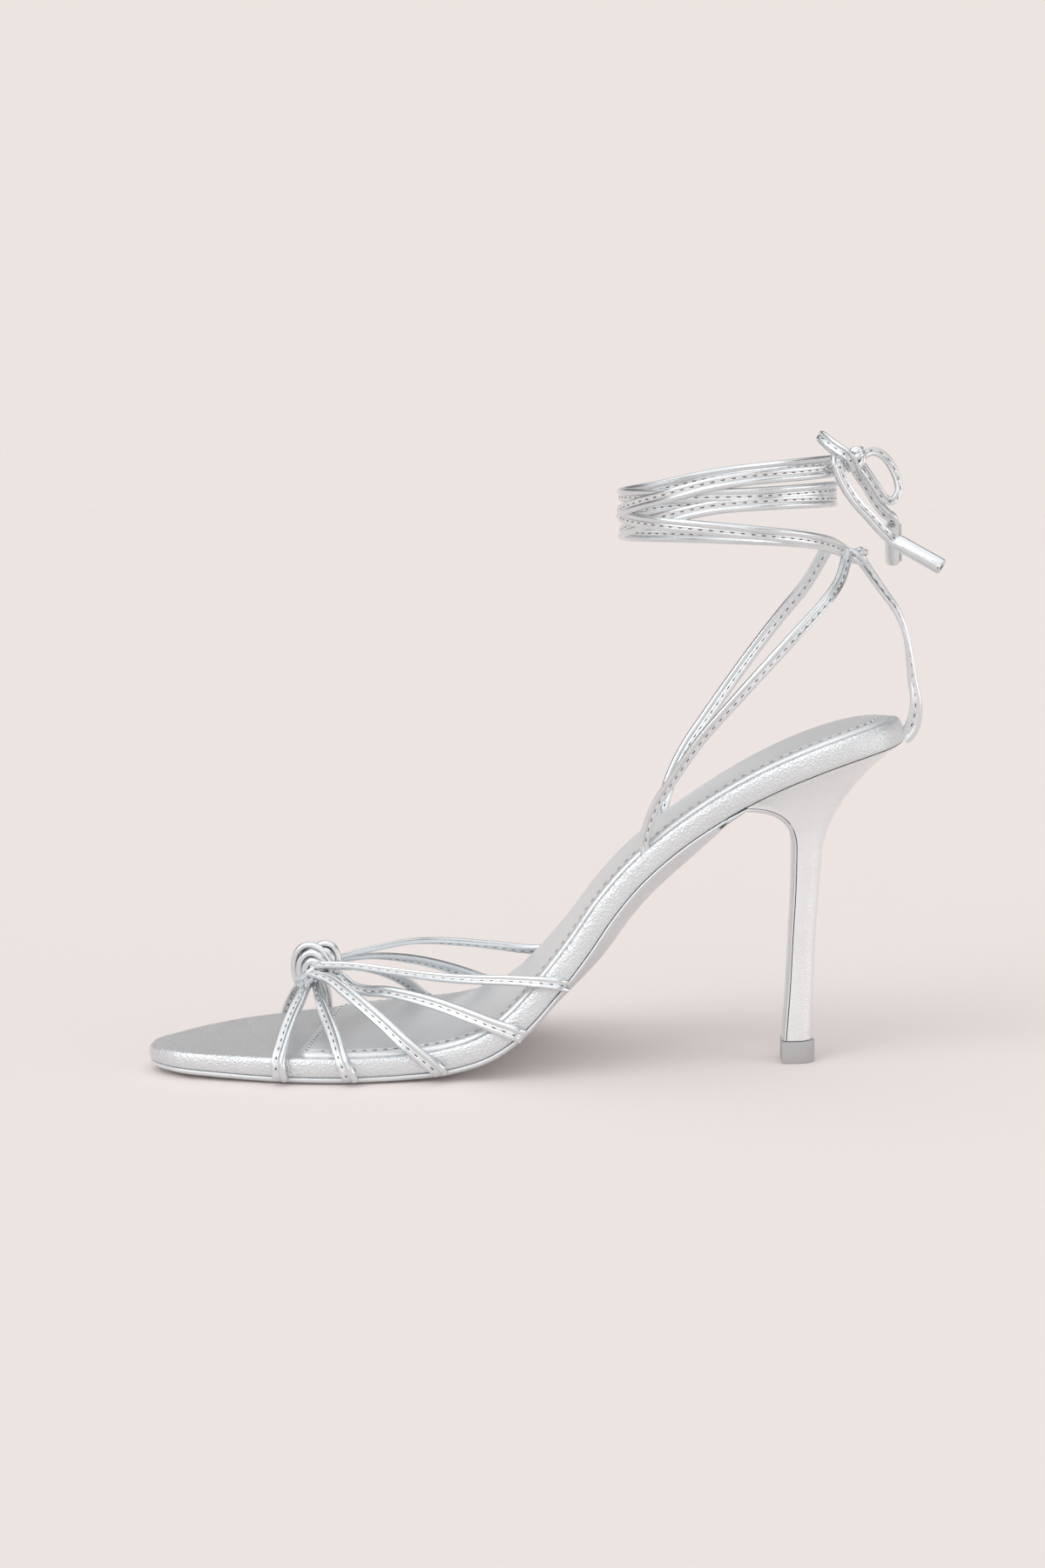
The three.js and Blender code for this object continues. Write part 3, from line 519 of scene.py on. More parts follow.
def stationsTo(start, end, count, kind):
    t = np.linspace(0, 1, count + 1)
    eased = {"both": (1 - np.cos(np.pi * t)) / 2, "first": 1 - np.cos(np.pi * t / 2),
             "last": np.sin(np.pi * t / 2)}[kind]
    return start + (end - start) * (0.6 * eased + 0.4 * t)


# Cords: the bow behind the ankle, its loops, its ends and their rolled tips
ankle = {"length": 60.0, "width": 55.0, "set": 51.0, "height": 146.0, "span": 26.0}
seatBack = bendAt(1.0, 0.0, bandAt(1.0))
ankleCentre = np.array([seatBack[0] - ankle["set"], 0, 0])


def laceSpot(turn, up, off=0.0, push=0.0):
    angle = np.radians(turn)
    return np.stack([
        ankleCentre[0] + (ankle["length"] / 2 * (1 + off) + push) * np.cos(angle),
        -(ankle["width"] / 2 * (1 + off) + push) * np.sin(angle),
        ankle["height"] + up * ankle["span"] + 0 * angle,
    ], axis=-1)


bow = {"spread": 24.0, "knot": 2.3, "tubeLength": 14.3, "tubeWidth": 5.1, "wall": 0.62, "turns": 2.3,
       "tuckIn": 9.0, "overlap": 0.4}
besideLace = strap["bead"] / 2 + sole["gap"]
laceFinish = laceSpot(720.0, 1.0, 0.07)
bowKnotSpot = np.array([laceFinish[0] + besideLace + bow["knot"], 0, ankle["height"] + ankle["span"]])
bowLines = {
    "bowLoopUpper": [(-0.02, -0.19, -0.1), (-0.1, -0.33, 0.03), (-0.27, -0.26, 0.16),
                     (-0.4, -0.08, 0.27), (-0.4, 0.08, 0.27), (-0.27, 0.26, 0.16), (-0.1, 0.33, 0.03),
                     (-0.02, 0.19, -0.1)],
    "bowLoopRear": [(0.05, 0.02, 0.02), (0.11, 0.03, 0.06), (0.2, 0.03, 0.1), (0.31, 0.03, 0.06),
                    (0.41, 0.03, -0.05), (0.5, 0.02, -0.25), (0.51, 0.01, -0.38), (0.45, 0, -0.47),
                    (0.35, -0.03, -0.45), (0.24, -0.06, -0.3), (0.1, -0.06, -0.1),
                    (0.04, -0.04, -0.02)],
    "laceEndInner": [(-0.27, -0.5, -0.0), (-0.27, -0.57, -0.02), (-0.22, -0.57, -0.19),
                     (-0.06, -0.5, -0.45), (0.13, -0.44, -0.65), (0.29, -0.4, -0.82),
                     (0.42, -0.38, -0.93)],
    "laceEndOuter": [(0.0, 0.05, 0.0), (0.03, 0.14, -0.12), (0.17, 0.17, -0.32), (0.28, 0.17, -0.5),
                     (0.38, 0.17, -0.62), (0.46, 0.18, -0.68)],
}
bowFaces = {"bowLoopRear": (0, -1, 0), "laceEndInner": (0.25, -1, 0.4), "laceEndOuter": (0.4, 1, 0.3)}
bowWidths = {"bowLoopUpper": 0.8, "bowLoopRear": 0.64, "laceEndInner": 0.86, "laceEndOuter": 0.86}
bowNodes = {"bowLoopUpper": "bow_loop_upper", "bowLoopRear": "bow_loop_rear",
            "laceEndInner": "lace_end_inner", "laceEndOuter": "lace_end_outer"}
tipLeans = {"laceEndInner": (0.84, -0.34, -0.48), "laceEndOuter": (0.1, 0.62, -0.75)}


def bowSpots(name):
    return np.array(bowLines[name], float) * bow["spread"] + bowKnotSpot


def makeBowKnot():
    strands = [
        ([(0, -2.2, -3.0), (-1.6, -2.0, -1.4), (-1.7, -1.5, 1.2), (0, -1.2, 3.0), (1.7, -1.4, 1.6),
          (1.9, -2.0, -0.6), (0.6, -2.5, -2.4)], 0.95),
        ([(-1.9, 0.6, -1.2), (-1.5, -1.8, -0.2), (0.2, -2.8, 0.7), (1.7, -1.7, 1.5), (1.9, 0.6, 1.9),
          (0.6, 2.2, 1.0), (-1.4, 1.9, -0.6)], 1.0),
        ([(-1.9, 0.8, 0.6), (-1.4, -1.2, 1.4), (0.3, -2.2, 2.3), (1.6, -0.6, 2.9), (0.8, 1.6, 2.2),
          (-1.1, 1.8, 1.1)], 0.9),
        ([(0.4, 1.6, -3.0), (-1.4, 1.6, -1.4), (-1.2, 1.6, 1.4), (0.6, 1.4, 2.6), (1.7, 1.4, 0.4),
          (0.8, 1.6, -2.2)], 0.95),
    ]
    parts = []
    for points, size in strands:
        line = curveThrough(np.array(points) * [0.92, 0.92, 1.0] + bowKnotSpot)
        parts += strandParts(line, size, lift=(0.3, -1, 0.2))
    return strapPiece("bowKnot", parts, "bow_knot")


def rolledTip(name, node, lean, start):
    # a strip of leather rolled into a tube, open at its end, with a ring of painted shade inside the opening
    lean = unit(lean)
    side = unit(np.cross(lean, (0, 0, 1)))
    up = np.cross(side, lean)
    outer = bow["tubeWidth"] / 2
    turns = np.linspace(0, 2 * math.pi * bow["turns"], int(26 * bow["turns"]))
    radii = outer - bow["wall"] * 0.98 * turns / (2 * math.pi)
    inner = radii - bow["wall"] * 0.86
    strip = np.vstack([
        np.stack([radii * np.cos(turns), radii * np.sin(turns)], axis=1),
        np.stack([inner * np.cos(turns), inner * np.sin(turns)], axis=1)[::-1],
    ])
    rows = []
    squeezes = [(0, 0.93), (0.03, 0.985), (0.2, 1.0), (0.5, 0.99), (0.8, 1.0), (0.97, 0.985), (1, 0.94)]
    for share, squeeze in squeezes:
        middle = start + lean * bow["tubeLength"] * share
        rows.append(middle + strip[:, :1] * side * squeeze + strip[:, 1:] * up * squeeze)
    parts = [(*turned(closeRings(rows)), 0)]
    hollow = (outer - bow["wall"]) * circle(24)
    hollow = hollow[:, :1] * side + hollow[:, 1:] * up
    # a dark ring inside the open end: painted shade in the hollow
    hollowPaintedShade = [start + lean * bow["tubeLength"] * share + hollow for share in (0.9, 0.985)]
    parts.append((*turned(closeRings(hollowPaintedShade)), 2))
    return strapPiece(name, parts, node, sharp=50)


def makeBow():
    knot = makeBowKnot()
    tips = {}
    for name, tipName, node in (("laceEndInner", "laceTipInner", "lace_tip_inner"),
                                ("laceEndOuter", "laceTipOuter", "lace_tip_outer")):
        spots = bowSpots(name)
        lean = unit(tipLeans[name])
        kink = math.sin(math.acos(float(np.clip(np.dot(lean, unit(spots[-1] - spots[-2])), -1, 1))))
        start = spots[-1] + lean * (2 * sole["gap"] + strap["width"] / 2 * kink - bow["overlap"])
        tips[name] = (rolledTip(tipName, node, lean, start), start + lean * bow["tuckIn"])
    for name, points in bowLines.items():
        spots = bowSpots(name)
        if name in tips:
            spots = np.vstack([spots, tips[name][1]])
        middleSpot = spots.mean(axis=0)

        def outward(spot, share):
            return spot - middleSpot + (0, 0, 0.1) if name == "bowLoopUpper" else bowFaces[name]

        line = curveThrough(spots)
        widths = [(0, bowWidths[name]), (1, bowWidths[name])]
        parts = strapParts(line, outward, widths=widths)
        piece = strapPiece(name, parts, bowNodes[name])
        middle = evenly(line, 0.9)[0] / 1000
        carried = [tips[name][0]] if name in tips else []
        if name == "laceEndOuter":
            carried.append(knot)


makeBow()
print("bow tied")


# Footbed: a leather band folded over the insole board, with its lower edge turned in above the sole
bandProfile = [(1.6, 1.0), (0.9, 0.99), (0.35, 0.93), (0.12, 0.8), (0.0, 0.62), (0.0, 0.42), (0.1, 0.26),
               (0.32, 0.13), (0.7, 0.04), (1.3, 0.0)]


def makeFootbed():
    stations = stationsTo(0, 1, 230, "both")
    edge = curveThrough([(inset, depth, 0) for inset, depth in bandProfile], 3)[:, :2]
    rings = []
    for inset, depth in edge:
        along, y = patternLoop(stations, inset)
        rings.append(bendAt(along, y, depth * bandAt(along)))
    body = joined(closeRings(rings, caps=False), capGrid(rings[-1], 36), flipped(capGrid(rings[0], 12)))
    makePiece("footbedBand", [(*turned(body), 0)], [bandSilver], ["footbed"])


makeFootbed()
print("footbed covered")


# Sock: the thin bonded cover, stitched all round inside its edge
sock = {"inset": 2.7, "lift": 0.12, "edge": 0.45, "edgeRound": 0.35, "thick": 0.8, "slope": 0.6, "puff": 0.3,
        "puffReach": 3.0, "front": (0.178, 0.19), "corner": 4.5, "fineReach": 6.0, "stitchInset": 2.4,
        "groove": 0.22, "grooveWidth": 0.4, "thread": 0.5, "threadRise": 0.5, "threadLift": 0.12}


def sockRows(fine, coarse, length, ends):
    # spots along a length, closer together near one or both ends
    near = sock["fineReach"]
    first = np.arange(0, near, fine)
    middle = np.linspace(near, length - (near if ends == 2 else 0), int((length - near) / coarse))
    final = length - first[::-1] if ends == 2 else np.array([length])
    return np.unique(np.round(np.r_[first, middle, final], 4)) / length


def sockGrid():
    widths = sockRows(0.4, 2.2, last["ball"] * 0.85, 2)
    rows = sockRows(0.4, 1.7, pathLength * 0.81, 2)
    across, down = np.meshgrid(widths, rows)
    roomy = last["ball"] * 0.8
    nearSide = np.minimum(across, 1 - across) * roomy
    missing = np.clip(sock["corner"] - nearSide, 0, None)
    corner = sock["corner"] - np.sqrt(np.maximum(sock["corner"] ** 2 - missing ** 2, 0))
    front = sock["front"][0] + (sock["front"][1] - sock["front"][0]) * across + corner / pathLength
    along = front + (1 - front) * down
    roundLength = 0.35 * last["ball"]
    turn = np.clip(1 - (1 - along) * pathLength / roundLength, 0, None)
    inner = innerEdge(along) + sock["inset"]
    outer = outerEdge(along) - sock["inset"]
    y = inner + (outer - inner) * across
    return along - sock["inset"] * turn ** 2 / pathLength, y


def toPolyline(points, border):
    # distance from each point to a closed border
    start, end = border, np.roll(border, -1, axis=0)
    best = np.full(len(points), 1e9)
    for a, b in zip(start, end):
        way = b - a
        share = np.clip(((points - a) @ way) / max(way @ way, 1e-9), 0, 1)
        best = np.minimum(best, np.linalg.norm(points - a - share[:, None] * way, axis=1))
    return best


def sockHeight(distance):
    edge = np.sqrt(np.clip(1 - (1 - np.clip(distance / sock["edgeRound"], 0, 1)) ** 2, 0, 1))
    slope = np.sin(np.clip(distance / (sock["stitchInset"] + sock["slope"]), 0, 1) * math.pi / 2)
    groove = sock["groove"] * np.exp(-((distance - sock["stitchInset"]) / sock["grooveWidth"]) ** 2)
    inside = np.clip(distance - sock["stitchInset"], 0, None)
    puff = sock["puff"] * (1 - np.exp(-inside / sock["puffReach"]))
    return sock["lift"] + sock["edge"] * edge + sock["thick"] * slope - groove + puff


def makeSock():
    along, y = sockGrid()
    rows, columns = along.shape
    flat = np.stack([along.ravel() * pathLength, y.ravel()], axis=1)
    grid = np.arange(rows * columns).reshape(rows, columns)
    rim = np.r_[grid[0, :], grid[1:, -1], grid[-1, -2::-1], grid[-2:0:-1, 0]]
    distance = toPolyline(flat, flat[rim])
    spots = bendAt(flat[:, 0] / pathLength, flat[:, 1], -sockHeight(distance))
    foot = bendAt(flat[:, 0] / pathLength, flat[:, 1], np.full(len(flat), 0.1))
    faces = np.stack([grid[:-1, :-1], grid[:-1, 1:], grid[1:, 1:], grid[1:, :-1]], axis=-1)
    faces = faces.reshape(-1, 4).tolist()
    base = rows * columns
    faces += [[k + base for k in face[::-1]] for face in faces]
    for here, after in zip(rim.tolist(), np.roll(rim, -1).tolist()):
        faces.append([after, here, base + here, base + after])
    parts = [(*turned((np.vstack([spots, foot]), faces)), 0)]

    border = flat[rim]
    border = border[np.r_[True, np.linalg.norm(np.diff(border, axis=0), axis=1) > 0.05]]
    ways = unit(np.roll(border, -2, axis=0) - np.roll(border, 2, axis=0))
    inward = np.stack([ways[:, 1], -ways[:, 0]], axis=1)  # the rim runs clockwise
    seam = border + inward * sock["stitchInset"]
    keep = toPolyline(seam, border) > sock["stitchInset"] * 0.97
    seam = seam[keep]
    seam = np.vstack([seam, seam[:1]])
    height = sockHeight(np.full(len(seam), sock["stitchInset"]))
    line = bendAt(seam[:, 0] / pathLength, seam[:, 1], -height)
    lifts = unit(bendAt(seam[:, 0] / pathLength, seam[:, 1], -height - 1) - line)
    # white threads, with discs of painted shade for the needle holes
    parts += stitchParts(line, lifts * 0, sock["threadLift"], lifts, trim=0.5, thread=sock["thread"],
                         rise=sock["threadRise"])
    makePiece("sockCover", parts, [sockSilver, threadWhite, paintedHoleShade], ["sock"])


makeSock()
print("sock sewn")


# Heel: a cup under the seat, a slim column with a flat front, and its top lift
heel = {"lip": 0.79, "inset": 0.8, "set": 30.2, "lift": 6.3, "liftLength": 9.6, "liftWidth": 10.0,
        "neck": 62.0, "tipLength": 7.3, "neckLength": 7.4,
        "cupFront": 0.9, "cupBehind": 0.5, "cupBack": 0.34, "cupWide": 1.25}
# height share, lean in tip lengths, length and width of the column
heelColumn = [
    (0.0, -0.3, 7.3, 8.6), (0.25, -0.18, 6.79, 8.6), (0.55, -0.09, 6.57, 8.94), (0.8, -0.01, 6.81, 9.46),
    (1.0, 0.0, 7.4, 11.0),
]
heelFront = seatBack[0] - heel["set"]
heelFoot = heel["lift"] + sole["gap"]


def columnRing(height, lean, length, width, count):
    angle = np.linspace(0, math.pi, count)
    x = heelFront + lean * heel["tipLength"] + length * np.clip(np.sin(angle), 0, 1) ** 0.8
    z = np.full(count, heelFoot + height * (heel["neck"] - heelFoot))
    return np.stack([x, -width / 2 * np.cos(angle), z], axis=1)


def heelRings():
    along, y = patternLoop(stationsTo(heel["lip"], 1, 40, "last"), heel["inset"])
    along = np.maximum(along, heel["lip"])
    top = bendAt(along, y, bandAt(along) + sole["seam"])
    heights = np.linspace(1, 0, 26)
    sizes = [tableCurve([(row[0], row[k]) for row in heelColumn], heights) for k in (1, 2, 3)]
    levels = [columnRing(h, *size, len(top)) for h, size in zip(heights, np.transpose(sizes))]
    neck = levels[0]
    back = np.sin(np.linspace(0, math.pi, len(top)))
    turn = neck.copy()
    turn[:, 0] += heel["cupBack"] * heel["neckLength"] * back
    turn[:, 1] *= heel["cupWide"]
    share = heel["cupFront"] + (heel["cupBehind"] - heel["cupFront"]) * back
    turn[:, 2] += (top[:, 2] - neck[:, 2]) * share
    cup = [top * (1 - t) ** 2 + turn * 2 * t * (1 - t) + neck * t * t for t in np.linspace(0, 1, 22)[:-1]]
    return cup + levels


heelShape = heelRings()


def makeHeel():
    body = joined(
        closeRings(heelShape, caps=False), flipped(capGrid(heelShape[0], 8)), capGrid(heelShape[-1], 6))
    # the heel's silver is lightened with painted light
    makePiece("heelCover", [(*turned(body), 0)], [heelSilverWithPaintedLight], ["heel"])

    front = heelFront + heelColumn[0][1] * heel["tipLength"] - sole["gap"] - sole["flap"]
    angle = np.linspace(0, math.pi, 40)

    def liftRing(inset, z):
        x = front + inset + (heel["liftLength"] - 2 * inset) * np.clip(np.sin(angle), 0, 1) ** 0.7
        return np.stack([x, -(heel["liftWidth"] / 2 - inset) * np.cos(angle), np.full(40, z)], axis=1)

    rings = [liftRing(0.45, 0), liftRing(0.16, 0.1), liftRing(0, 0.45), liftRing(0, heel["lift"] - 0.35),
             liftRing(0.1, heel["lift"] - 0.08), liftRing(0.4, heel["lift"])]
    makePiece("topLift", [(*turned(closeRings(rings)), 0)], [tipGrey], ["top_lift"])


makeHeel()
print("heel covered")


# Outsole: flat at the tread, cambered at the waist, then down the heel's front as a thin flap
# inset and depth round the edge, cut back under it; then where the waist is arched and where it is thin
soleEdge = [(0.9, -0.1), (0.45, -0.06), (0.3, 0.1), (0.34, 0.3), (0.65, 0.48), (1.4, 0.68), (2.6, 0.88),
            (4.2, 1.0)]
flapFade = 2.88
waistLine = [(0.0, 0.0, 0.0), (0.33, 0.0, 0.0), (0.41, 0.0, 0.46), (0.46, 0.4, 0.86), (0.53, 0.9, 1.0),
             (0.6, 1.0, 1.0), (0.69, 1.0, 1.0), (0.74, 0.7, 1.0), (0.77, 0.35, 1.0),
             (0.8, 0.1, 1.0), (1.0, 0.0, 1.0)]


def makeOutsole():
    foot = stationsTo(0, heel["lip"] - 0.02, 170, "first")
    front = np.array([ring[0] for ring in heelShape])
    ways = unit(np.gradient(front, axis=0) * [1, 0, 1])
    out = np.stack([ways[:, 2], np.zeros(len(ways)), -ways[:, 0]], axis=1)
    half = np.abs(front[:, 1])

    def thickness(along):
        thin = tableCurve([(row[0], row[2]) for row in waistLine], np.clip(along, 0, 1))
        return sole["thick"] * (1 + (sole["waist"] - 1) * thin)

    def flapSide(side, inset, depth):
        spots = front + out * (sole["gap"] + depth)
        spots[:, 1] = side * (half - inset)
        return spots

    def ring(inset, depth):
        along, y = patternLoop(foot, inset)
        under = bendAt(along, y, bandAt(along) + sole["gap"] * 0.6 + depth * thickness(along))
        middle = len(under) // 2
        flapOut = depth * sole["flap"]
        near, far = [flapSide(side, inset * 0.5, flapOut) for side in (-1, 1)]
        return np.vstack([under[:middle], near, far[::-1], under[middle:]])

    rings = [ring(inset, depth) for inset, depth in soleEdge]
    camberAt = tableCurve([(row[0], row[1]) for row in waistLine], foot)

    def belly(grid, shares):
        arc = sole["camber"] * (1 - (2 * shares - 1) ** 2)
        steps = np.arange(grid.shape[0] - len(foot))
        fade = np.clip(1 - flapFade * steps / len(heelShape), 0, None) * camberAt[-1]
        downward = bendAt(foot, 0 * foot, np.ones(len(foot))) - bendAt(foot, 0 * foot, 0 * foot)
        grid[:len(foot)] += downward[:, None, :] * (camberAt[:, None] * arc[None, :])[..., None]
        grid[len(foot):] += out[:, None, :] * (fade[:, None] * arc[None, :])[..., None]
        return grid

    points, faces = joined(
        closeRings(rings, caps=False), flipped(capGrid(rings[0], 8)), capGrid(rings[-1], 24, belly))
    points[:, 2] = np.maximum(points[:, 2], 0)
    makePiece("soleUnder", [(*turned((points, faces)), 0)], [soleSilver], ["outsole"])


makeOutsole()
print("sole laid")


# Vamp: ten straps from a knot over the toes to the seam
knot = {"along": 0.184, "rise": 20.0, "radius": 4.7, "ease": 0.7, "towardOuter": 0.4}
seatAt = {"top": 0.12, "low": 0.9, "tuck": 1.06}  # depths in the band where a strap bends over, down and in
# for each strap: side, seat along the last, lead, start at the knot in its radii (x, y, z), belly out and up
vampStraps = [
    (-1, 0.163, 0.002, -0.3, -0.5, -0.9, 0.0, 0.035), (-1, 0.242, 0.016, 0.1, -0.5, -0.9, 0.01, 0.035),
    (-1, 0.338, 0.022, 0.2, -0.6, -0.3, 0.035, 0.03), (-1, 0.426, 0.02, 0.6, -0.5, -0.5, 0.045, 0.02),
    (-1, 0.497, 0.016, 0.3, -0.6, 0.15, 0.045, -0.02), (1, 0.132, 0.0, -0.2, 0.5, -0.9, 0.0, 0.035),
    (1, 0.176, 0.0, 0.1, 0.5, -0.9, 0.0, 0.035), (1, 0.314, 0.02, 0.3, 0.6, -0.3, 0.02, 0.045),
    (1, 0.399, 0.02, 0.6, 0.5, -0.1, 0.04, 0.02), (1, 0.484, 0.012, 0.6, 0.5, 0.2, 0.05, 0.015),
]
knotShift = knot["towardOuter"] * float(innerEdge(knot["along"]) + outerEdge(knot["along"]))
knotSpot = bendAt(knot["along"], knotShift, -knot["rise"])
knotStarts = {  # where the inner straps come out of the folds
    0.163: (-1.6, -3.8, -5.0), 0.242: (0.4, -3.8, -5.0), 0.338: (-1.9, -5.7, -1.5), 0.426: (0.6, -4.6, -1.6),
    0.497: (-0.7, -5.9, 0.6),
}
knotCore = (4.7, 4.2, 5.2)
knotStrands = [
    # left lobe, from the outside in: up the front, over the crown and under the longest strap
    ([(-2.4, -2.4, -7.0), (-5.0, -3.0, -4.8), (-6.0, -3.2, -1.1), (-5.6, -3.2, 2.8), (-3.9, -3.2, 5.2),
      (-1.4, -3.2, 6.0), (1.3, -3.6, 5.2), (3.5, -4.2, 3.2), (4.9, -4.6, 0.8)], 1.0),
    ([(-1.6, -3.4, -6.6), (-3.5, -4.2, -4.6), (-4.3, -4.5, -1.4), (-3.9, -4.6, 1.5), (-2.4, -4.7, 3.4),
      (-0.4, -4.9, 4.0), (1.8, -5.2, 3.0), (3.5, -5.2, 1.4)], 1.0),
    ([(-0.9, -4.0, -5.6), (-2.1, -5.1, -3.6), (-2.6, -5.5, -1.2), (-2.0, -5.8, 0.8), (-0.6, -6.0, 1.9),
      (1.1, -6.1, 1.5), (2.6, -5.9, 0.4)], 0.95),
    # folds that slant over the middle into the longest straps
    ([(-5.2, -3.2, -4.6), (-3.5, -5.3, -3.2), (-1.6, -6.3, -1.6), (0.4, -6.3, -0.2)], 0.95),
    ([(-3.2, -3.6, -6.6), (-1.8, -5.3, -4.8), (0.0, -5.9, -3.0)], 0.9),
    # right lobe, over the top and down
    ([(0.2, -2.0, 5.2), (2.7, -2.0, 6.2), (5.1, -2.2, 5.5), (6.4, -2.4, 3.4), (6.8, -2.6, 1.0),
      (5.8, -2.6, -2.0)], 1.0),
    ([(1.4, -3.4, 4.2), (3.4, -3.6, 4.4), (4.9, -3.8, 3.0), (5.2, -3.9, 0.9), (4.4, -3.9, -1.6)], 0.95),
    # crown and outer side
    ([(-5.6, -1.6, 0.0), (-4.9, -0.6, 3.6), (-2.6, 0.0, 5.4), (0.6, 0.2, 4.6), (3.4, -0.2, 5.6),
      (6.0, -0.6, 3.4), (6.3, -0.8, -0.4)], 0.95),
    ([(-5.3, -0.2, -2.6), (-5.6, 0.8, 1.0), (-4.0, 1.6, 4.2), (-0.6, 2.0, 4.5), (2.8, 1.6, 4.7),
      (5.2, 1.2, 2.6), (5.4, 0.8, -1.6)], 1.0),
    ([(-4.0, 1.4, -4.8), (-5.0, 2.6, -1.6), (-4.2, 3.4, 1.8), (-1.6, 3.9, 3.6), (1.8, 3.8, 3.6),
      (4.2, 3.2, 1.6), (4.2, 2.6, -1.8), (2.0, 2.2, -4.6)], 1.0),
    ([(-2.6, 3.0, -4.6), (-3.4, 4.2, -1.4), (-2.0, 4.9, 1.2), (0.8, 5.0, 1.6), (2.8, 4.3, -0.4),
      (2.0, 3.4, -3.4)], 1.0),
    ([(-4.4, 2.2, 1.6), (-1.8, 4.4, 0.8), (0.4, 5.2, -0.8), (2.6, 4.4, -2.4), (3.8, 2.4, -3.6)], 0.95),
]

# straps led through listed turns: the fourth inner one drops behind the third, the outer ones arch high
vampTurns = {
    (-1, 0.242): [(-19.0, -8.0, 21.4), (-15.0, -20.4, 17.3), (-10.8, -31.2, 12.7), (-7.8, -37.6, 7.2)],
    (-1, 0.338): [(-15.2, -12.4, 25.2), (-9.2, -18.6, 22.9), (1.6, -28.0, 16.9), (10.2, -33.2, 10.6)],
    (-1, 0.497): [(-8.4, -10.8, 28.5), (2.4, -15.0, 28.1), (21.1, -22.0, 27.6), (39.2, -27.0, 28.2),
                  (47.0, -29.4, 28.3)],
    (-1, 0.426): [(-13.5, -4.4, 25.0), (-9.0, -8.2, 22.3), (-4.3, -11.6, 21.6), (2.4, -15.8, 22.2),
                  (15.3, -22.6, 20.9), (27.3, -28.6, 18.2), (33.0, -30.6, 16.4)],
    (1, 0.399): [(-12.6, 8.0, 27.0), (-1.6, 20.0, 25.2), (10.1, 32.0, 21.0), (22.3, 40.6, 15.4)],
    (1, 0.484): [(-13.4, 4.0, 28.4), (-6.6, 10.0, 29.2), (5.0, 20.0, 29.7), (13.8, 27.0, 28.7),
                 (29.5, 34.0, 26.2), (40.0, 36.4, 24.6)],
}
vampWidths = [(0, 0.62), (0.12, 0.72), (0.32, 0.96), (0.8, 1.0), (0.93, 1.1), (1, 1.12)]
# the two longest straps are narrower
longWidths = [(0, 0.58), (0.15, 0.62), (0.5, 0.7), (0.8, 0.82), (0.93, 0.95), (1, 1.05)]
longFrom = 0.48


def vampLine(side, seat, lead, x, y, z, outwards, upwards):
    edge = innerEdge if side < 0 else outerEdge
    stand = sole["gap"] + strap["bead"] / 2 + knot["ease"]
    start = knotSpot + np.array([x, y, z]) * knot["radius"]
    if side < 0:
        start = knotSpot + np.array(knotStarts[seat])
    slant = float(edge(seat + 0.01) - edge(seat - 0.01)) / (0.02 * pathLength)
    away = side * stand * math.hypot(1, slant)
    top = bendAt(seat - lead, float(edge(seat - lead)) + away, seatAt["top"] * bandAt(seat))
    low = bendAt(seat, float(edge(seat)) + away * 0.92, seatAt["low"] * bandAt(seat))
    tuck = bendAt(seat, float(edge(seat)) + away * 0.3, seatAt["tuck"] * bandAt(seat))
    if (side, seat) in vampTurns:
        return relaxed(curveThrough([start] + vampTurns[side, seat] + [low, tuck]), 3.0)
    shoulder = start + (top - start) * 0.5
    shoulder = shoulder + np.array([0, side * outwards, upwards]) * last["ball"]
    brow = shoulder + (top - shoulder) * 0.62
    brow = brow + np.array([0, side * 0.025, 0.3 * upwards]) * last["ball"]
    return relaxed(curveThrough([start, shoulder, brow, top, low, tuck]), 2.6)


def makeVamp():
    parts = []
    for row in vampStraps:
        def outward(spot, share):
            return (0, spot[1] - 0.05 * last["ball"], spot[2] + 4 - footbedTop)
        widths = longWidths if row[1] > longFrom else vampWidths
        parts += strapParts(vampLine(*row), outward, row[0], widths=widths)
    parts.append((*coreBall(knotSpot, knotCore), 0))
    for points, size in knotStrands:
        parts += strandParts(curveThrough(np.array(points) + knotSpot), size, lift=(0, -1, 0.3))
    strapPiece("vampStraps", parts, "vamp")


makeVamp()
print("vamp knotted")


# Ankle: two side straps, the heel strap with its small knot, and the wound laces
ankleStraps = {
    "ankleStrapInner": (-1, 0.674, "ankle_strap_inner", [
        (0.05, 0.13, 0.8), (0.145, 0.245, 0.89), (0.265, 0.375, 0.97), (0.46, 0.54, 1.0), (0.7, 0.73, 0.9),
        (0.88, 0.865, 0.62), (0.96, 0.94, 0.32), (0.99, 1.0, 0.17), (1.0, 1.04, 0.12)]),
    "ankleStrapOuter": (1, 0.702, "ankle_strap_outer", [
        (0.05, 0.12, 0.8), (0.13, 0.235, 0.9), (0.25, 0.36, 0.98), (0.5, 0.61, 1.0), (0.68, 0.78, 0.93),
        (0.8, 0.89, 0.8), (0.915, 1.045, 0.49)]),
}
laceStart = laceSpot(0.0, 0.0, 0.12)
heelKnot = {"radius": 2.5, "fold": 0.8}
heelKnotSpot = np.array(
    [laceStart[0] + besideLace + heelKnot["radius"], 0, ankle["height"] - 0.4 * heelKnot["radius"]])
heelStrapLine = [(0.0, 0.0), (0.1, 0.045), (0.16, 0.17), (0.08, 0.304), (-0.08, 0.568), (-0.27, 0.7),
                 (-0.52, 0.8), (-0.86, 0.94)]
heelStrapWidths = [(0, 1.25), (0.12, 1.3), (0.3, 1.0), (1, 0.85)]
edgeRound = 0.6  # of the band, where the straps go in


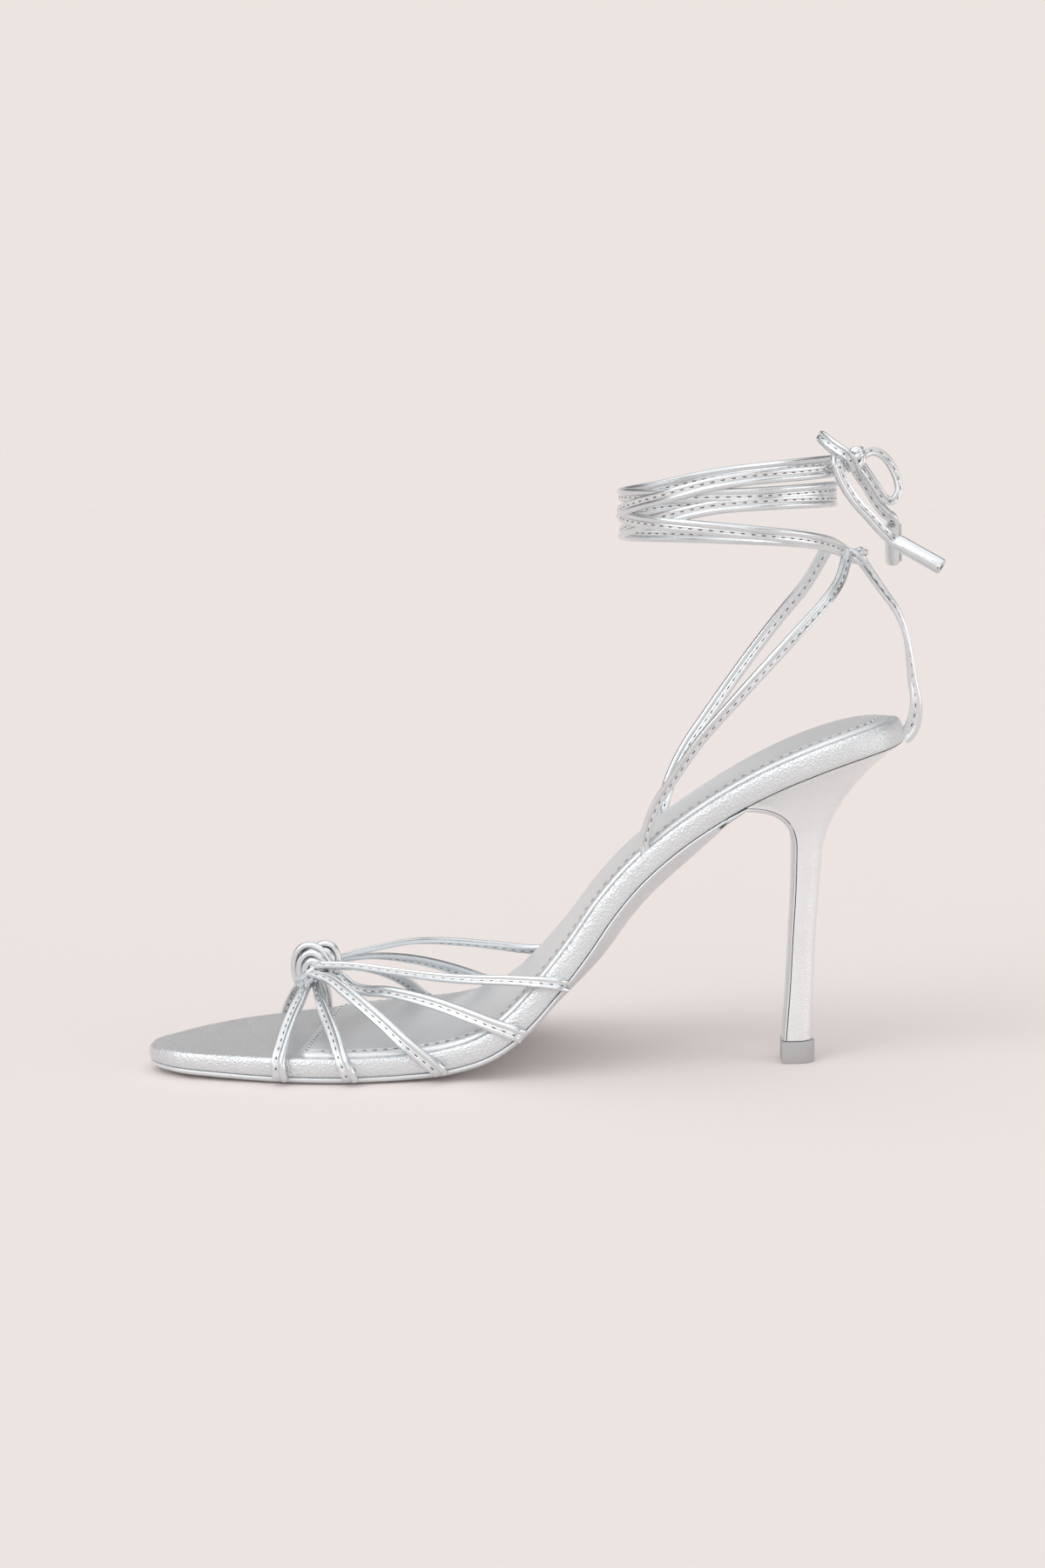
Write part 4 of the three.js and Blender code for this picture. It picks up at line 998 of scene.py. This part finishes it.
def makeAnkleStraps():
    for name, (side, slit, node, rows) in ankleStraps.items():
        edge = innerEdge if side < 0 else outerEdge
        inset = strap["bead"] / 2 + edgeRound
        foot = bendAt(slit, float(edge(slit)) - side * inset, -sole["gap"] - 0.4 * strap["width"])
        root = bendAt(slit - 0.006, float(edge(slit)) - side * inset, 0.6)
        reach = laceStart[0] - foot[0]
        rise = ankle["height"] - strap["width"] / 2 - sole["gap"] - foot[2]
        route = [(foot[0] + a * reach, side * o * ankle["width"] / 2, foot[2] + u * rise) for a, u, o in rows]

        def outward(spot, share):
            return (0.35 * math.sin(share * 1.5), side, 0.1 if side < 0 else -0.12)

        line = curveThrough([root, foot] + route)
        widths = [(0, 0.76), (0.25, 0.78), (0.6, 0.87), (1, 0.87)] if side < 0 else None
        strapPiece(name, strapParts(line, outward, side, widths=widths), node)


def makeHeelStrap():
    behind = sole["gap"] + strap["bead"] / 2 - edgeRound
    foot = np.array([seatBack[0] + behind, 0, seatBack[2] + 0.4 * strap["width"]])
    reach, rise = heelKnotSpot[0] - foot[0], heelKnotSpot[2] - foot[2]
    route = [(foot[0] - back * reach, 0, foot[2] + up * rise) for back, up in heelStrapLine]
    route[-1] = (heelKnotSpot[0] + 0.2 * heelKnot["radius"], 0, heelKnotSpot[2] - 0.4 * heelKnot["radius"])
    tuck = (foot[0] - 1.2, 0, foot[2] - 0.9)

    def outward(spot, share):
        twist = math.radians(float(np.interp(share, [0, 0.25, 0.55, 0.8, 1], [62, 46, 14, 30, 50])))
        return (math.cos(twist), -math.sin(twist), 0.2)

    parts = strapParts(curveThrough([tuck] + route), outward, widths=heelStrapWidths)
    strands = [
        ([(-2.2, -1.4, -1.4), (-1.0, -2.6, 0.4), (0.8, -2.6, 1.6), (2.0, -0.8, 1.8), (1.6, 1.4, 0.8),
          (-0.4, 2.4, -0.4)], 0.95),
        ([(-1.6, -2.0, 1.6), (0.2, -2.8, 0.6), (1.6, -2.0, -0.8), (2.0, 0.2, -1.8), (0.6, 2.2, -1.2),
          (-1.2, 2.2, 0.6)], 0.95),
        ([(-2.0, 0.6, -1.8), (-2.2, -1.2, 0.2), (-1.2, -1.4, 2.2), (0.6, 0.4, 2.6),
          (1.0, 2.0, 1.4)], 0.9),
        ([(-0.6, -2.2, -1.8), (1.0, -1.8, -2.0), (1.6, 0.4, -2.2), (0.0, 2.0, -2.0),
          (-1.6, 1.2, -1.6)], 0.85),
        # two folds that lead back into the laces
        ([(-5.6, -1.4, 2.4), (-3.6, -2.6, 2.2), (-1.4, -3.2, 1.2), (0.6, -2.9, -0.4),
          (1.8, -1.8, -1.8)], 1.0),
        ([(-5.4, -0.8, 0.4), (-3.4, -2.2, 0.2), (-1.6, -2.7, -0.8), (0.0, -2.4, -2.0)], 0.95),
    ]
    fold = heelKnot["fold"]
    for points, size in strands:
        line = curveThrough(np.array(points) * fold + heelKnotSpot)
        parts += strandParts(line, size * fold, lift=(0.2, -1, 0.2))
    strapPiece("heelStrap", parts, "heel_strap")


# turn, height, how far off the ellipse, and millimetres pushed out where one lace passes over the other
laceInner = [
    (0, 0.0, 0.12, 0), (30, 0.13, 0.02, 0), (90, 0.255, 0, 0.3), (135, 0.335, 0, 0.3), (180, 0.42, 0, 0),
    (270, 0.58, 0, 0), (360, 0.7, 0, 0), (450, 0.62, 0, -0.2), (540, 0.63, 0, 0), (585, 0.7, 0, 0),
    (630, 0.87, 0, 0), (675, 0.96, 0, 0), (720, 1.0, 0.07, 0),
]
laceOuter = [
    (0, 0.0, 0.12, 0), (-30, 0.1, 0.02, 0), (-90, 0.155, 0, 0), (-180, 0.22, 0, -0.3), (-225, 0.35, 0, -0.4),
    (-270, 0.51, 0, -0.2), (-360, 0.57, 0, 0), (-450, 0.54, 0, 0), (-540, 0.44, 0, 0.4), (-585, 0.56, 0, 0.8),
    (-630, 0.765, 0, 0.5), (-675, 0.85, 0, 0), (-720, 0.92, 0.07, 0),
]


def makeLaces():
    parts = []
    for rows in (laceInner, laceOuter):
        turns = np.linspace(rows[0][0], rows[-1][0], 360)
        up, off, push = [tableCurve([(row[0], row[k]) for row in rows], turns) for k in (1, 2, 3)]
        line = laceSpot(turns, up, off, push)

        def outward(spot, share):
            return (spot[0] - ankleCentre[0], spot[1], 0)

        parts += strapParts(line, outward)
    strapPiece("ankleLaces", parts, "ankle_laces")


makeAnkleStraps()
makeHeelStrap()
makeLaces()
print("ankle laced")


# Studio: a pale floor in an even room, with soft panels overhead, at the left and behind the camera
studio = {
    "paper": (0.84, 0.78, 0.753), "floorTone": (0.83, 0.77, 0.75), "gloom": (0.13, 0.13, 0.135),
    "overhead": 1.2, "paperGrain": 1000 / 900, "paperBump": 0.03, "floorReach": 60.0,
    "panels": [
        # direction, inner and outer half angle, brightness
        ((-0.62, -0.55, 0.62), 12, 28, 2.3),
        ((0.05, -0.86, 0.50), 8, 34, 0.9),
        ((0.94, -0.30, 0.24), 8, 32, 1.1),
    ],
}


def makeFloor():
    material, tree, shader, where = newMaterial("floorPaper", (-900, 0))
    noise = addNoise(tree, where, (-700, 0), studio["paperGrain"])
    bump = addNode(tree, "ShaderNodeBump", (-400, -200))
    bump.inputs["Strength"].default_value = studio["paperBump"]
    bump.inputs["Distance"].default_value = 0.0001
    tree.links.new(noise.outputs["Fac"], bump.inputs["Height"])
    tree.links.new(bump.outputs["Normal"], shader.inputs["Normal"])
    shader.inputs["Base Color"].default_value = (*studio["floorTone"], 1)
    shader.inputs["Roughness"].default_value = 1.0
    shader.inputs["Specular IOR Level"].default_value = 0.0
    mesh = bpy.data.meshes.new("floorPaper")
    reach = studio["floorReach"]
    corners = [(-reach, -reach, 0), (reach, -reach, 0), (reach, reach, 0), (-reach, reach, 0)]
    mesh.from_pydata(corners, [], [(0, 1, 2, 3)])
    mesh.materials.append(material)
    floor = bpy.data.objects.new("floorPaper", mesh)
    bpy.context.scene.collection.objects.link(floor)


def makeRoom():
    world = bpy.data.worlds.new("softRoom")
    world.use_nodes = True
    tree = world.node_tree
    link = tree.links.new
    background = tree.nodes["Background"]
    where = addNode(tree, "ShaderNodeTexCoord", (-1200, 0))
    split = addNode(tree, "ShaderNodeSeparateXYZ", (-1000, 200))
    link(where.outputs["Generated"], split.inputs["Vector"])
    ramp = addNode(tree, "ShaderNodeValToRGB", (-760, 200))
    ramp.color_ramp.interpolation = "EASE"
    white = (studio["overhead"],) * 3
    steps = [(0.0, studio["paper"]), (0.24, studio["paper"]), (0.38, studio["gloom"]),
             (0.62, studio["gloom"]), (0.82, white), (1.0, white)]
    marks = ramp.color_ramp.elements
    while len(marks) < len(steps):
        marks.new(0.5)
    for mark, (place, color) in zip(marks, steps):
        mark.position = place
        mark.color = (*color, 1)
    link(split.outputs["Z"], ramp.inputs["Fac"])
    total = ramp.outputs["Color"]
    for k, (way, inner, outer, bright) in enumerate(studio["panels"]):
        dot = addNode(tree, "ShaderNodeVectorMath", (-1000, -200 * k - 100), operation="DOT_PRODUCT")
        dot.inputs[1].default_value = unit(way).tolist()
        link(where.outputs["Generated"], dot.inputs[0])
        fade = addNode(tree, "ShaderNodeMapRange", (-760, -200 * k - 100), interpolation_type="SMOOTHSTEP")
        fade.inputs["From Min"].default_value = math.cos(math.radians(outer))
        fade.inputs["From Max"].default_value = math.cos(math.radians(inner))
        fade.inputs["To Max"].default_value = bright
        link(dot.outputs["Value"], fade.inputs["Value"])
        add = addNode(tree, "ShaderNodeVectorMath", (-500 + 160 * k, 0), operation="ADD")
        link(total, add.inputs[0])
        link(fade.outputs["Result"], add.inputs[1])
        total = add.outputs["Vector"]
    link(total, background.inputs["Color"])
    bpy.context.scene.world = world
    bpy.context.scene.view_settings.view_transform = "Standard"


makeFloor()
makeRoom()
print("studio lit")
